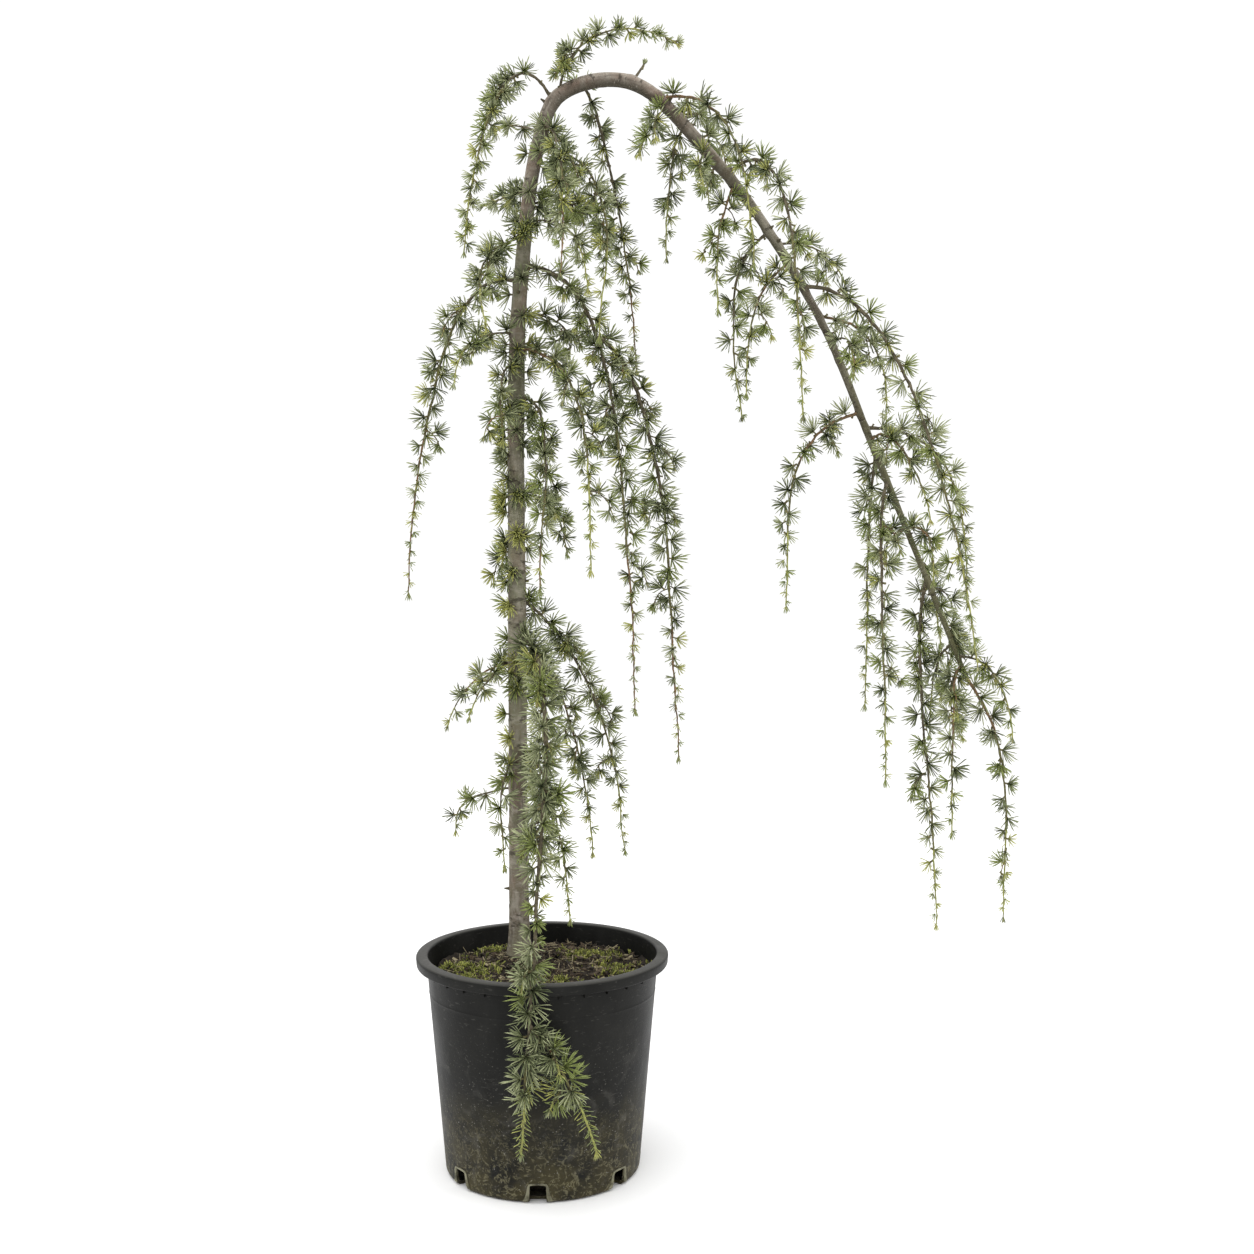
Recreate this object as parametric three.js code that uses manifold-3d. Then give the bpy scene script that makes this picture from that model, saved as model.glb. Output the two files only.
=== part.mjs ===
// A weeping blue atlas cedar in its round black nursery pot.
// Millimetres, +Z up, +X to the right, +Y away from the front; the origin is the centre of the
// pot's underside. One leading stem rises from the soil, bends over in an arch and hangs to the
// right. Every mass of foliage is one thin shoot that starts on that stem, arches out and hangs,
// with side twigs and with sprays of needles fused to it.

import * as THREE from 'three';
import { mergeVertices } from 'three/addons/utils/BufferGeometryUtils.js';
import Module from 'manifold-3d';

const wasm = await Module();
wasm.setup();

// ---------------------------------------------------------------- driving sizes

const GAP = 0.3; // clear space between neighbouring pieces
const SEED = 20;

const POT = {
  height: 242,
  footRadius: 108, // outer radius where the wall meets the ground
  wallTopRadius: 129, // outer radius where the wall meets the rim
  rimRadius: 140,
  rimHeight: 12,
  rimRound: 3,
  wall: 2.2,
  floor: 3,
  cornerRadius: 5.5,
  sides: 40,
};

// Drain notches through the lower edge; each is cut from the inner radius outward.
const NOTCH = { count: 7, width: 18, height: 20, inner: 96, outer: 118 };

const SOIL = { level: 220, moundTop: 229, moundFlat: 19, moundFoot: 46, moundSunk: 30, sides: 18 };

// The leading stem: how far across it stands, how high, and how thick it is there.
const STEM_DEPTH = 30;
const STEM_STATIONS = [
  { across: -28, height: 229.3, thick: 22 },
  { across: -29, height: 632, thick: 20 },
  { across: -29, height: 854, thick: 18.5 },
  { across: -25, height: 963, thick: 16.5 },
  { across: -5, height: 1127, thick: 15.2 },
  { across: 17, height: 1183, thick: 15.6 },
  { across: 64, height: 1202, thick: 15.8 },
  { across: 110, height: 1195, thick: 15.4 },
  { across: 175, height: 1133, thick: 13.8 },
  { across: 236, height: 1059, thick: 10.8 },
  { across: 312, height: 934, thick: 8.8 },
  { across: 365, height: 808, thick: 7.6 },
  { across: 421, height: 674, thick: 6.6 },
  { across: 474, height: 545, thick: 5.4 },
];
const ROOT_FLARE = { extra: 4.5, reach: 22, rings: [8, 20, 42] }; // extra radius at the soil fades upward

// Where the stem is divided, as lengths along it from the soil.
const LIMBS = [
  { name: 'trunk', end: 900, sides: 12, step: 90 },
  { name: 'arch', end: 1140, sides: 10, step: 24 },
  { name: 'leader_upper', end: 1470, sides: 8, step: 55 },
  { name: 'leader_lower', end: Infinity, sides: 8, step: 60 },
];

// Each shoot starts at a length along the stem, leaves it toward (out, lift), and ends at
// (reach, drop) from its root; depth is how far its end lies behind (+) or in front (-).
const SHOOTS = {
  crown_spray: [
    { along: 964, out: 10, lift: 83, reach: 128, drop: -37, depth: -60 },
    { along: 954, out: -46, lift: 79, reach: -92, drop: 177, depth: -70 },
    { along: 918, out: -34, lift: 23, reach: -61, drop: -14, depth: 62 },
  ],
  left_spray: [
    { along: 849, out: -21, lift: 17, reach: -63, drop: -11, depth: 120 },
    { along: 805, out: -59, lift: -32, reach: -33, drop: 117, depth: -115 },
    { along: 754, out: -90, lift: 31, reach: -138, drop: 349, depth: 80 },
    { along: 698, out: -49, lift: 0, reach: -61, drop: 66, depth: -95 },
    { along: 664, out: -22, lift: 0, reach: -11, drop: 100, depth: -55 },
    { along: 474, out: -21, lift: -15, reach: -20, drop: 59, depth: 60 },
    { along: 332, out: -36, lift: -1, reach: -88, drop: 83, depth: 80,
      fork: { share: 0.12, out: -20, lift: -10, reach: -34, drop: 52, depth: -90 } },
    { along: 226, out: -24, lift: -14, reach: -11, drop: 115, depth: -60 },
    { along: 191, out: -79, lift: -14, reach: -77, drop: 62, depth: 60 },
  ],
  right_spray: [
    { along: 982, out: 14, lift: 53, reach: 70, drop: 299, depth: 110 },
    { along: 925, out: 25, lift: -7, reach: 24, drop: 180, depth: -120 },
    { along: 903, out: 95, lift: -27, reach: 68, drop: 217, depth: -60 },
    { along: 838, out: 60, lift: 28, reach: 85, drop: 1, depth: 150 },
    { along: 820, out: 57, lift: 2, reach: 70, drop: 87, depth: -80 },
    { along: 772, out: 113, lift: -4, reach: 125, drop: 491, depth: -40,
      fork: { share: 0.235, out: 68, lift: -22, reach: 91, drop: 474, depth: 75 } },
    { along: 722, out: 76, lift: -5, reach: 46, drop: 60, depth: 90 },
    { along: 681, out: 85, lift: -3, reach: 84, drop: 245, depth: -110 },
    { along: 625, out: 45, lift: 17, reach: 29, drop: 211, depth: -60 },
    { along: 516, out: 37, lift: 15, reach: 53, drop: 65, depth: 85 },
    { along: 408, out: 83, lift: -56, reach: 121, drop: 312, depth: 105 },
    { along: 352, out: 60, lift: 36, reach: 15, drop: 510, depth: -190,
      fork: { share: 0.77, out: 10, lift: -8, reach: 70, drop: 134, depth: -4 } },
    { along: 340, out: 42, lift: 17, reach: 83, drop: 237, depth: 60 },
    { along: 234, out: 34, lift: 4, reach: 61, drop: 176, depth: -85 },
  ],
  leader_spray: [
    { along: 1048, out: 5, lift: 10, reach: 13, drop: -22, depth: 4 },
    { along: 1082, out: 84, lift: 9, reach: 99, drop: 193, depth: -80 },
    { along: 1096, out: -20, lift: -14, reach: -14, drop: 46, depth: -55 },
    { along: 1114, out: 31, lift: 33, reach: 41, drop: -16, depth: 115 },
    { along: 1126, out: -14, lift: 12, reach: -20, drop: 131, depth: 70 },
    { along: 1146, out: 21, lift: 29, reach: 35, drop: 13, depth: 80 },
    { along: 1158, out: -14, lift: -24, reach: -7, drop: 57, depth: -80 },
    { along: 1178, out: -16, lift: -7, reach: -5, drop: 27, depth: 90 },
    { along: 1192, out: 67, lift: 52, reach: 74, drop: 275, depth: -110 },
    { along: 1206, out: -28, lift: -61, reach: -21, drop: 147, depth: -60 },
    { along: 1270, out: -56, lift: -39, reach: -23, drop: 200, depth: 75 },
    { along: 1286, out: 62, lift: 12, reach: 91, drop: 48, depth: 85 },
    { along: 1311, out: -48, lift: -35, reach: -51, drop: 151, depth: -70 },
    { along: 1342, out: 86, lift: 12, reach: 177, drop: 415, depth: -100 },
    { along: 1378, out: 84, lift: -5, reach: 90, drop: 116, depth: 85 },
    { along: 1409, out: 22, lift: 7, reach: 15, drop: 42, depth: -60 },
    { along: 1494, out: -97, lift: -23, reach: -86, drop: 215, depth: -60 },
    { along: 1512, out: 124, lift: 6, reach: 139, drop: 203, depth: 110 },
    { along: 1527, out: 16, lift: 20, reach: 52, drop: 91, depth: -85 },
    { along: 1542, out: 4, lift: 23, reach: 4, drop: 293, depth: 90 },
    { along: 1577, out: -16, lift: -10, reach: -12, drop: 324, depth: -80 },
    { along: 1632, out: -19, lift: -12, reach: -14, drop: 40, depth: 55,
      fork: { share: 0.1, out: 26, lift: 14, reach: 22, drop: 56, depth: -75 } },
    { along: 1676, out: 16, lift: 12, reach: 45, drop: 110, depth: 100 },
    { along: 1696, out: -19, lift: -29, reach: 25, drop: 406, depth: 55 },
    { along: 1772, out: -12, lift: -9, reach: -6, drop: 118, depth: 100 },
    { along: 1788, out: 35, lift: 5, reach: 47, drop: 85, depth: -65 },
    { along: 1800, out: -24, lift: 3, reach: -24, drop: 176, depth: -75,
      fork: { share: 0.08, out: -8, lift: -48, reach: 20, drop: 84, depth: 60 } },
    { along: 1812, out: 64, lift: -81, reach: 58, drop: 288, depth: 50 },
  ],
};

// How a shoot bends from its shoulder to its hanging end, as shares of the way between them.
const HANG = { depthEarly: 0.45, depthLate: 0.95, across: 0.75, down: 0.5 };

const TWIG = {
  corners: 3,
  tipRadius: 1.1,
  endTaper: 0.7,
  swell: 0.0042, // radius gained for each millimetre of length
  bareAtRoot: 14, // a shoot's first stretch without sprays
  bareAtFork: 6,
  bareOnSide: 8,
};

const SPRAY = {
  spacing: 33, // from one whorl of sprays to the next along a shoot
  whorl: 8, // length of stem that a whorl covers
  length: 19,
  shortest: 10, // near the growing end
  ripening: 90, // length over which sprays reach full size
  lean: 0.62, // forward share of their direction
  scatter: 0.18, // how far their length varies
};

// Side twigs: where the first one stands, how often they follow, the share of the shoot that bears
// them, and how they reach out and fall.
const SIDE = {
  from: 45, every: 160, until: 0.72, length: 44, shortest: 26, shoulder: 0.5, reach: 0.7, fall: 0.75,
};

const CLEAR = { spray: 0.9, limb: 1.2, pot: 1.5 };

// ---------------------------------------------------------------- small helpers

function makeRandom(seed) {
  let state = seed >>> 0;
  return () => {
    state = (state + 0x6d2b79f5) >>> 0;
    let mixed = Math.imul(state ^ (state >>> 15), state | 1);
    mixed = (mixed + Math.imul(mixed ^ (mixed >>> 7), mixed | 61)) ^ mixed;
    return ((mixed ^ (mixed >>> 14)) >>> 0) / 4294967296;
  };
}

const mix = (from, to, share) => from + (to - from) * share;
const clamp01 = (value) => Math.min(1, Math.max(0, value));

function solidFromFaces(points, faces) {
  return new wasm.Manifold(new wasm.Mesh({
    numProp: 3,
    vertProperties: Float32Array.from(points.flatMap((point) => point.toArray())),
    triVerts: Uint32Array.from(faces.flat()),
  }));
}

function solidFromGeometry(geometry) {
  geometry.deleteAttribute('normal');
  geometry.deleteAttribute('uv');
  const merged = mergeVertices(geometry, 1e-4);
  return new wasm.Manifold(new wasm.Mesh({
    numProp: 3,
    vertProperties: Float32Array.from(merged.attributes.position.array),
    triVerts: Uint32Array.from(merged.index.array),
  }));
}

function namedMesh(name, solid, material) {
  const { vertProperties, triVerts } = solid.getMesh();
  const geometry = new THREE.BufferGeometry();
  geometry.setAttribute('position', new THREE.BufferAttribute(vertProperties, 3));
  geometry.setIndex(new THREE.BufferAttribute(triVerts, 1));
  geometry.computeVertexNormals();
  const mesh = new THREE.Mesh(geometry, material);
  mesh.name = name;
  return mesh;
}

// A solid turned about +Z from a profile of [radius, height] pairs that starts and ends on the axis.
function turned(profile, sides) {
  const outline = profile.map(([radius, height]) => new THREE.Vector2(radius, height));
  const geometry = new THREE.LatheGeometry(outline, sides);
  geometry.rotateX(Math.PI / 2);
  return solidFromGeometry(geometry);
}

// ---------------------------------------------------------------- pot and soil

const wallRadiusAt = (height) => mix(POT.footRadius, POT.wallTopRadius, height / POT.height);

function arc(centreRadius, centreHeight, size, fromDegrees, toDegrees, steps) {
  return Array.from({ length: steps + 1 }, (_, index) => {
    const angle = THREE.MathUtils.degToRad(mix(fromDegrees, toDegrees, index / steps));
    return [centreRadius + size * Math.cos(angle), centreHeight + size * Math.sin(angle)];
  });
}

function makePot() {
  const rimFoot = POT.height - POT.rimHeight;
  const { rimRound, rimRadius, wall, floor, cornerRadius } = POT;
  const profile = [
    [0, 0],
    ...arc(wallRadiusAt(cornerRadius) - cornerRadius, cornerRadius, cornerRadius, -90, 0, 3),
    [wallRadiusAt(rimFoot), rimFoot],
    [rimRadius - rimRound, rimFoot],
    [rimRadius, rimFoot + rimRound],
    ...arc(rimRadius - rimRound, POT.height - rimRound, rimRound, 0, 90, 2),
    [wallRadiusAt(POT.height) - wall, POT.height - rimRound],
    [wallRadiusAt(cornerRadius) - wall, cornerRadius],
    [wallRadiusAt(cornerRadius) - cornerRadius, floor],
    [0, floor],
  ];
  let pot = turned(profile, POT.sides);
  const depth = NOTCH.outer - NOTCH.inner;
  const cutter = new THREE.BoxGeometry(NOTCH.width, depth, NOTCH.height * 2);
  cutter.translate(0, -(NOTCH.inner + depth / 2), 0);
  for (let index = 0; index < NOTCH.count; index += 1) {
    const turnedCutter = cutter.clone().rotateZ((index / NOTCH.count) * Math.PI * 2);
    pot = pot.subtract(solidFromGeometry(turnedCutter));
  }
  return pot;
}

function makeSoil() {
  const inside = (height) => wallRadiusAt(height) - POT.wall - GAP * 2;
  const corner = POT.cornerRadius;
  const bed = turned([
    [0, POT.floor + GAP],
    [wallRadiusAt(corner) - corner - GAP, POT.floor + GAP],
    [inside(corner), corner + GAP],
    [inside(SOIL.level), SOIL.level],
    [0, SOIL.level],
  ], POT.sides);
  const mound = turned([
    [0, SOIL.level - SOIL.moundSunk],
    [SOIL.moundFoot, SOIL.level - SOIL.moundSunk],
    [SOIL.moundFoot, SOIL.level],
    [mix(SOIL.moundFlat, SOIL.moundFoot, 0.45), mix(SOIL.moundTop, SOIL.level, 0.3)],
    [SOIL.moundFlat, SOIL.moundTop],
    [0, SOIL.moundTop],
  ], SOIL.sides);
  const foot = STEM_STATIONS[0];
  return bed.add(mound.translate([foot.across, STEM_DEPTH, 0]));
}

// ---------------------------------------------------------------- leading stem

const STEM_DIVISIONS = 60; // between two stations
const stemCurve = new THREE.CatmullRomCurve3(
  STEM_STATIONS.map(({ across, height }) => new THREE.Vector3(across, STEM_DEPTH, height)),
);
stemCurve.arcLengthDivisions = STEM_DIVISIONS * (STEM_STATIONS.length - 1);
const STEM_LENGTH = stemCurve.getLength();

// Length along the stem at each station, so that thickness can be read between them.
const stemLengths = stemCurve.getLengths();
const stationLengths = STEM_STATIONS.map((_, index) => stemLengths[index * STEM_DIVISIONS]);

function stemRadius(along) {
  const last = STEM_STATIONS.length - 2;
  const after = stationLengths.findIndex((length) => length > along);
  const index = after < 0 ? last : Math.max(0, after - 1);
  const share = (along - stationLengths[index]) / (stationLengths[index + 1] - stationLengths[index]);
  const thick = mix(STEM_STATIONS[index].thick, STEM_STATIONS[index + 1].thick, clamp01(share));
  return thick / 2 + ROOT_FLARE.extra * Math.exp(-along / ROOT_FLARE.reach);
}

const stemPoint = (along) => stemCurve.getPointAt(clamp01(along / STEM_LENGTH));
const stemTangent = (along) => stemCurve.getTangentAt(clamp01(along / STEM_LENGTH));

// One piece of the stem as a closed tube of flat-sided rings, grown outward by extra.
function stemPiece(start, end, sides, step, extra) {
  const atSoil = start === 0;
  const count = Math.ceil((end - start) / step);
  const even = Array.from({ length: count + 1 }, (_, index) => mix(start, end, index / count));
  const lengths = [...even, ...(atSoil ? ROOT_FLARE.rings : [])].sort((a, b) => a - b);
  lengths[0] -= atSoil ? 0 : extra;
  lengths[lengths.length - 1] += extra;
  const points = [];
  const faces = [];
  lengths.forEach((along, ring) => {
    const centre = stemPoint(along);
    const tangent = ring === 0 && atSoil ? new THREE.Vector3(0, 0, 1) : stemTangent(along);
    const side = new THREE.Vector3(0, 1, 0);
    const front = new THREE.Vector3().crossVectors(side, tangent).normalize();
    const radius = stemRadius(along) + extra;
    for (let corner = 0; corner < sides; corner += 1) {
      const angle = (corner / sides) * Math.PI * 2;
      points.push(centre.clone()
        .addScaledVector(front, radius * Math.cos(angle))
        .addScaledVector(side, radius * Math.sin(angle)));
    }
  });
  for (let ring = 0; ring < lengths.length - 1; ring += 1) {
    for (let corner = 0; corner < sides; corner += 1) {
      const next = (corner + 1) % sides;
      const low = ring * sides;
      const high = low + sides;
      faces.push([low + corner, low + next, high + next], [low + corner, high + next, high + corner]);
    }
  }
  const top = (lengths.length - 1) * sides;
  for (let corner = 1; corner < sides - 1; corner += 1) {
    faces.push([0, corner + 1, corner], [top, top + corner, top + corner + 1]);
  }
  return solidFromFaces(points, faces);
}

function makeLimbs(extra) {
  let start = 0;
  return LIMBS.map(({ name, end, sides, step }) => {
    const stop = Math.min(end, STEM_LENGTH);
    const last = stop === STEM_LENGTH;
    const from = start === 0 ? 0 : start + GAP / 2;
    const solid = stemPiece(from, last ? stop : stop - GAP / 2, sides, step, extra);
    start = stop;
    return { name, solid };
  });
}

// ---------------------------------------------------------------- shoots

function shootCurve(root, { out, lift, reach, drop, depth }) {
  const offset = (x, y, z) => new THREE.Vector3(root.x + x, root.y + y, root.z + z);
  return new THREE.CubicBezierCurve3(
    offset(0, 0, 0),
    offset(out, depth * HANG.depthEarly, lift),
    offset(mix(out, reach, HANG.across), depth * HANG.depthLate, mix(lift, -drop, HANG.down)),
    offset(reach, depth, -drop),
  );
}

const ALL_SHOOTS = Object.entries(SHOOTS).flatMap(([group, rows]) => rows.map((row, index) => {
  const main = shootCurve(stemPoint(row.along), row);
  const curves = [{ curve: main, rooted: true }];
  if (row.fork) {
    curves.push({ curve: shootCurve(main.getPointAt(row.fork.share), row.fork), rooted: false });
  }
  return { name: `${group}_${String(index + 1).padStart(2, '0')}`, curves };
}));

// Points a few millimetres apart along every shoot, which say whose space a place belongs to.
const PROBE_STEP = 6;
const probes = ALL_SHOOTS.map(({ curves }) => curves.flatMap(({ curve }) => (
  curve.getSpacedPoints(Math.ceil(curve.getLength() / PROBE_STEP)))));

function distanceToShoot(point, index) {
  return Math.sqrt(Math.min(...probes[index].map((probe) => probe.distanceToSquared(point))));
}

const stemProbes = Array.from({ length: Math.ceil(STEM_LENGTH / PROBE_STEP) + 1 }, (_, index) => {
  const along = Math.min(index * PROBE_STEP, STEM_LENGTH);
  return { centre: stemPoint(along), radius: stemRadius(along) };
});

const clearOfStem = (point) => stemProbes.every(({ centre, radius }) => (
  centre.distanceTo(point) > radius + CLEAR.limb));

function clearOfPot(point) {
  const radius = Math.hypot(point.x, point.y);
  const outside = radius > POT.rimRadius + CLEAR.pot || point.z > POT.height + CLEAR.pot;
  const overSoil = point.z > SOIL.moundTop + CLEAR.pot && radius < POT.footRadius;
  return outside || overSoil;
}

// A place is a shoot's own if it lies nearer to that shoot than to any other.
function isOwnSpace(point, owner) {
  const own = distanceToShoot(point, owner);
  const others = probes.every((_, index) => (
    index === owner || distanceToShoot(point, index) > own + CLEAR.spray));
  return others && clearOfStem(point) && clearOfPot(point);
}

// The twig is a three-sided stem. Where a whorl of sprays stands, one ring is turned by a sixth
// of a turn from the one before, and each of the six faces between them rises to a point.
function growTwig(curve, owner, random, bare) {
  const length = curve.getLength();
  const whorls = Math.max(1, Math.round((length - bare) / SPRAY.spacing));
  const pitch = (length - bare) / whorls;
  const stations = [0];
  for (let index = 0; index < whorls; index += 1) {
    const start = bare + index * pitch;
    stations.push(start, start + Math.min(SPRAY.whorl, pitch * 0.5));
  }
  stations.push(length);

  const points = [];
  const faces = [];
  const { corners } = TWIG;
  let across = new THREE.Vector3(0, 1, 0);
  let twist = random() * Math.PI;

  const frames = stations.map((station, index) => {
    const share = station / length;
    const tangent = curve.getTangentAt(share);
    if (Math.abs(across.dot(tangent)) > 0.9) across = new THREE.Vector3(1, 0, 0);
    across = across.clone().addScaledVector(tangent, -across.dot(tangent)).normalize();
    const beside = new THREE.Vector3().crossVectors(tangent, across);
    if (index > 0 && index % 2 === 0 && index < stations.length - 1) twist += Math.PI / corners;
    const radius = TWIG.tipRadius + TWIG.swell * (length - station);
    const centre = curve.getPointAt(share);
    const spoke = (angle) => across.clone().multiplyScalar(Math.cos(angle))
      .addScaledVector(beside, Math.sin(angle));
    const taper = index === stations.length - 1 ? TWIG.endTaper : 1;
    for (let corner = 0; corner < corners; corner += 1) {
      const angle = twist + (corner / corners) * Math.PI * 2;
      points.push(centre.clone().addScaledVector(spoke(angle), radius * taper));
    }
    return { centre, tangent };
  });

  function raise(face, station) {
    const [a, b, c] = face.map((index) => points[index]);
    const middle = a.clone().add(b).add(c).divideScalar(3);
    const normal = new THREE.Vector3().crossVectors(b.clone().sub(a), c.clone().sub(a)).normalize();
    const ripe = clamp01((length - station) / SPRAY.ripening);
    const size = mix(SPRAY.shortest, SPRAY.length, ripe) * (1 + SPRAY.scatter * (random() - 0.5));
    const { tangent } = frames[stations.indexOf(station)];
    const direction = normal.clone().addScaledVector(tangent, SPRAY.lean).normalize();
    const tip = middle.clone().addScaledVector(direction, size);
    const halfway = middle.clone().lerp(tip, 0.55);
    if (!isOwnSpace(tip, owner) || !isOwnSpace(halfway, owner)) {
      faces.push(face);
      return;
    }
    points.push(tip);
    const apex = points.length - 1;
    faces.push([face[0], face[1], apex], [face[1], face[2], apex], [face[2], face[0], apex]);
  }

  for (let ring = 0; ring < stations.length - 1; ring += 1) {
    const isWhorl = ring % 2 === 1 && ring < stations.length - 2;
    for (let corner = 0; corner < corners; corner += 1) {
      const next = (corner + 1) % corners;
      const low = ring * corners;
      const high = low + corners;
      if (isWhorl) {
        raise([low + corner, low + next, high + corner], stations[ring]);
        raise([high + corner, low + next, high + next], stations[ring]);
      } else {
        faces.push([low + corner, low + next, high + next], [low + corner, high + next, high + corner]);
      }
    }
  }
  faces.push([0, 2, 1]);
  const end = (stations.length - 1) * corners;
  points.push(frames.at(-1).centre.clone().addScaledVector(frames.at(-1).tangent, SPRAY.shortest));
  const apex = points.length - 1;
  faces.push([end, end + 1, apex], [end + 1, end + 2, apex], [end + 2, end, apex]);
  return solidFromFaces(points, faces);
}

// A side twig leaves its shoot at a seeded angle and falls to hang beside it.
function sideTwigCurve(curve, station, random) {
  const share = station / curve.getLength();
  const root = curve.getPointAt(share);
  const turn = random() * Math.PI * 2;
  const size = mix(SIDE.shortest, SIDE.length, random());
  const away = new THREE.Vector3(Math.cos(turn), Math.sin(turn), 0);
  const fall = new THREE.Vector3(0, 0, -size * SIDE.fall);
  const end = root.clone().addScaledVector(away, size * SIDE.reach).add(fall);
  const shoulder = root.clone().addScaledVector(away, size * SIDE.shoulder);
  return new THREE.QuadraticBezierCurve3(root, shoulder, end);
}

function makeShoot({ curves }, owner, stemCutter) {
  const random = makeRandom(SEED + owner);
  let solid = null;
  curves.forEach(({ curve, rooted }) => {
    const length = curve.getLength();
    const bare = rooted ? Math.min(TWIG.bareAtRoot, length * 0.4) : TWIG.bareAtFork;
    const main = growTwig(curve, owner, random, bare);
    solid = solid ? solid.add(main) : main;
    for (let station = SIDE.from; station < length * SIDE.until; station += SIDE.every) {
      const side = sideTwigCurve(curve, station + random() * SIDE.from, random);
      const free = [0.4, 0.7, 1].every((share) => isOwnSpace(side.getPointAt(share), owner));
      if (free) solid = solid.add(growTwig(side, owner, random, TWIG.bareOnSide));
    }
  });
  const pieces = solid.subtract(stemCutter).decompose();
  return pieces.reduce((best, piece) => (piece.volume() > best.volume() ? piece : best));
}

// ---------------------------------------------------------------- the plant in its pot

const materials = {
  pot: new THREE.MeshStandardMaterial({ color: 0x2c2c2d, roughness: 0.55, metalness: 0 }),
  soil: new THREE.MeshStandardMaterial({ color: 0x3b2e22, roughness: 1, metalness: 0 }),
  bark: new THREE.MeshStandardMaterial({ color: 0x81776a, roughness: 0.85, metalness: 0 }),
  needles: new THREE.MeshStandardMaterial({ color: 0x64806c, roughness: 0.7, metalness: 0 }),
};

const plant = new THREE.Group();
plant.add(namedMesh('pot', makePot(), materials.pot));
plant.add(namedMesh('soil', makeSoil(), materials.soil));
makeLimbs(0).forEach(({ name, solid }) => plant.add(namedMesh(name, solid, materials.bark)));

const stemCutter = makeLimbs(GAP).map(({ solid }) => solid).reduce((all, solid) => all.add(solid));
ALL_SHOOTS.forEach((shoot, owner) => {
  plant.add(namedMesh(shoot.name, makeShoot(shoot, owner, stemCutter), materials.needles));
});

export default plant;
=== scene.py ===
import math

import bpy
import numpy as np
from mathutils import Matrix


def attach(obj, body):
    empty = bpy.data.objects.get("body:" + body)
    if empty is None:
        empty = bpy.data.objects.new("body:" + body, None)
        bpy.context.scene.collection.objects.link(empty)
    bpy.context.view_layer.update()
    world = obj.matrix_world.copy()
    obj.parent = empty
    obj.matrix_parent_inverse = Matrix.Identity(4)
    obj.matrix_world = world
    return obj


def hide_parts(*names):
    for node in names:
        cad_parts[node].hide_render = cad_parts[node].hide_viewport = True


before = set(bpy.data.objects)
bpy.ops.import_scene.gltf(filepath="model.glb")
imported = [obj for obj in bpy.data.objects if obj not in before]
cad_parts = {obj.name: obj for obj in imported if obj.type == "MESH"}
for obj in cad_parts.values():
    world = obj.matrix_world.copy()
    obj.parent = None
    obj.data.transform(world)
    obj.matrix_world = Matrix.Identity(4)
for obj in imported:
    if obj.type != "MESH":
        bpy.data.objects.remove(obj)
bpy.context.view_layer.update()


# ---------------------------------------------------------------- 1. Nursery pot
# One injection moulding of black polypropylene: a tapering wall under a rolled rim, with short
# ribs beneath the rim and seven drain notches through the foot, each with a raised lip.
# The wall is turned from one profile and the notches are cut through it; all sizes are in mm.

POT_HEIGHT = 242.0
FOOT_RADIUS = 108.0
SHOULDER_RADIUS = 129.0
RIM_RADIUS = 140.0
RIM_DEPTH = 12.0
WALL_THICK = 2.2
FLOOR_THICK = 3.0
FOOT_ROUND = 5.5
RING_LINE_HEIGHT = 201.0
POT_SIDES = 168
NOTCH_COUNT = 7
NOTCH_WIDTH = 18.0
NOTCH_HEIGHT = 20.0
NOTCH_INNER, NOTCH_OUTER, NOTCH_UNDER = 96.0, 118.0, -8.0
RIB_COUNT = 30
RIB_HALF_WIDTH, RIB_PROUD = 0.8, 2.6
LIP_PROUD = 1.4
WALL_CREASE, BEAD_CREASE = 32, 40

# Rings of the wall, and the faint line round it as (step, how far it stands out).
WALL_RINGS = [9.0, 30.0, 90.0, 150.0]
RING_LINE = [(-4.0, 0.0), (-1.2, 0.0), (0.0, 0.35), (1.2, 0.0), (4.0, 0.0)]

# Half of the lip round a notch, from its outer foot to the top: (across, height, half width).
HALF_LIP = [(-14.5, 0.8, 2.6), (-12.6, 3.4, 2.5), (-11.4, 7.0, 2.2), (-10.5, 13.0, 1.6),
            (-10.0, 18.0, 1.3), (-9.0, 20.4, 1.1), (-6.0, 21.0, 0.95), (0.0, 21.2, 0.9)]

# Heights in metres between which dirt on the wall fades in, from none to all of it.
ALGAE_FADE, CRUST_FADE, SPLASH_FADE = (0.120, 0.004), (0.105, 0.012), (0.195, 0.075)
CURL_GAIN, CRUST_SHARE = 3.6, 0.52
# The last share lightens faces that look upward: a painted highlight that also stands for settled dust.
DUST_SHARE, SMEAR_SHARE, SCRATCH_SHARE, SETTLED_DUST_AND_HIGHLIGHT_SHARE = 0.50, 0.13, 0.07, 0.14

PLASTIC_BLACK = (0.006, 0.006, 0.0052, 1.0)
PLASTIC_SCUFFED = (0.015, 0.015, 0.0135, 1.0)
# The grey of dust; it is also the painted highlight on faces that look upward.
DUST_AND_HIGHLIGHT_GREY = (0.30, 0.29, 0.26, 1.0)
LIP_WORN = (0.33, 0.32, 0.22, 1.0)
ALGAE_OLIVE = (0.048, 0.041, 0.019, 1.0)
ALGAE_PALE = (0.23, 0.21, 0.125, 1.0)


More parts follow.
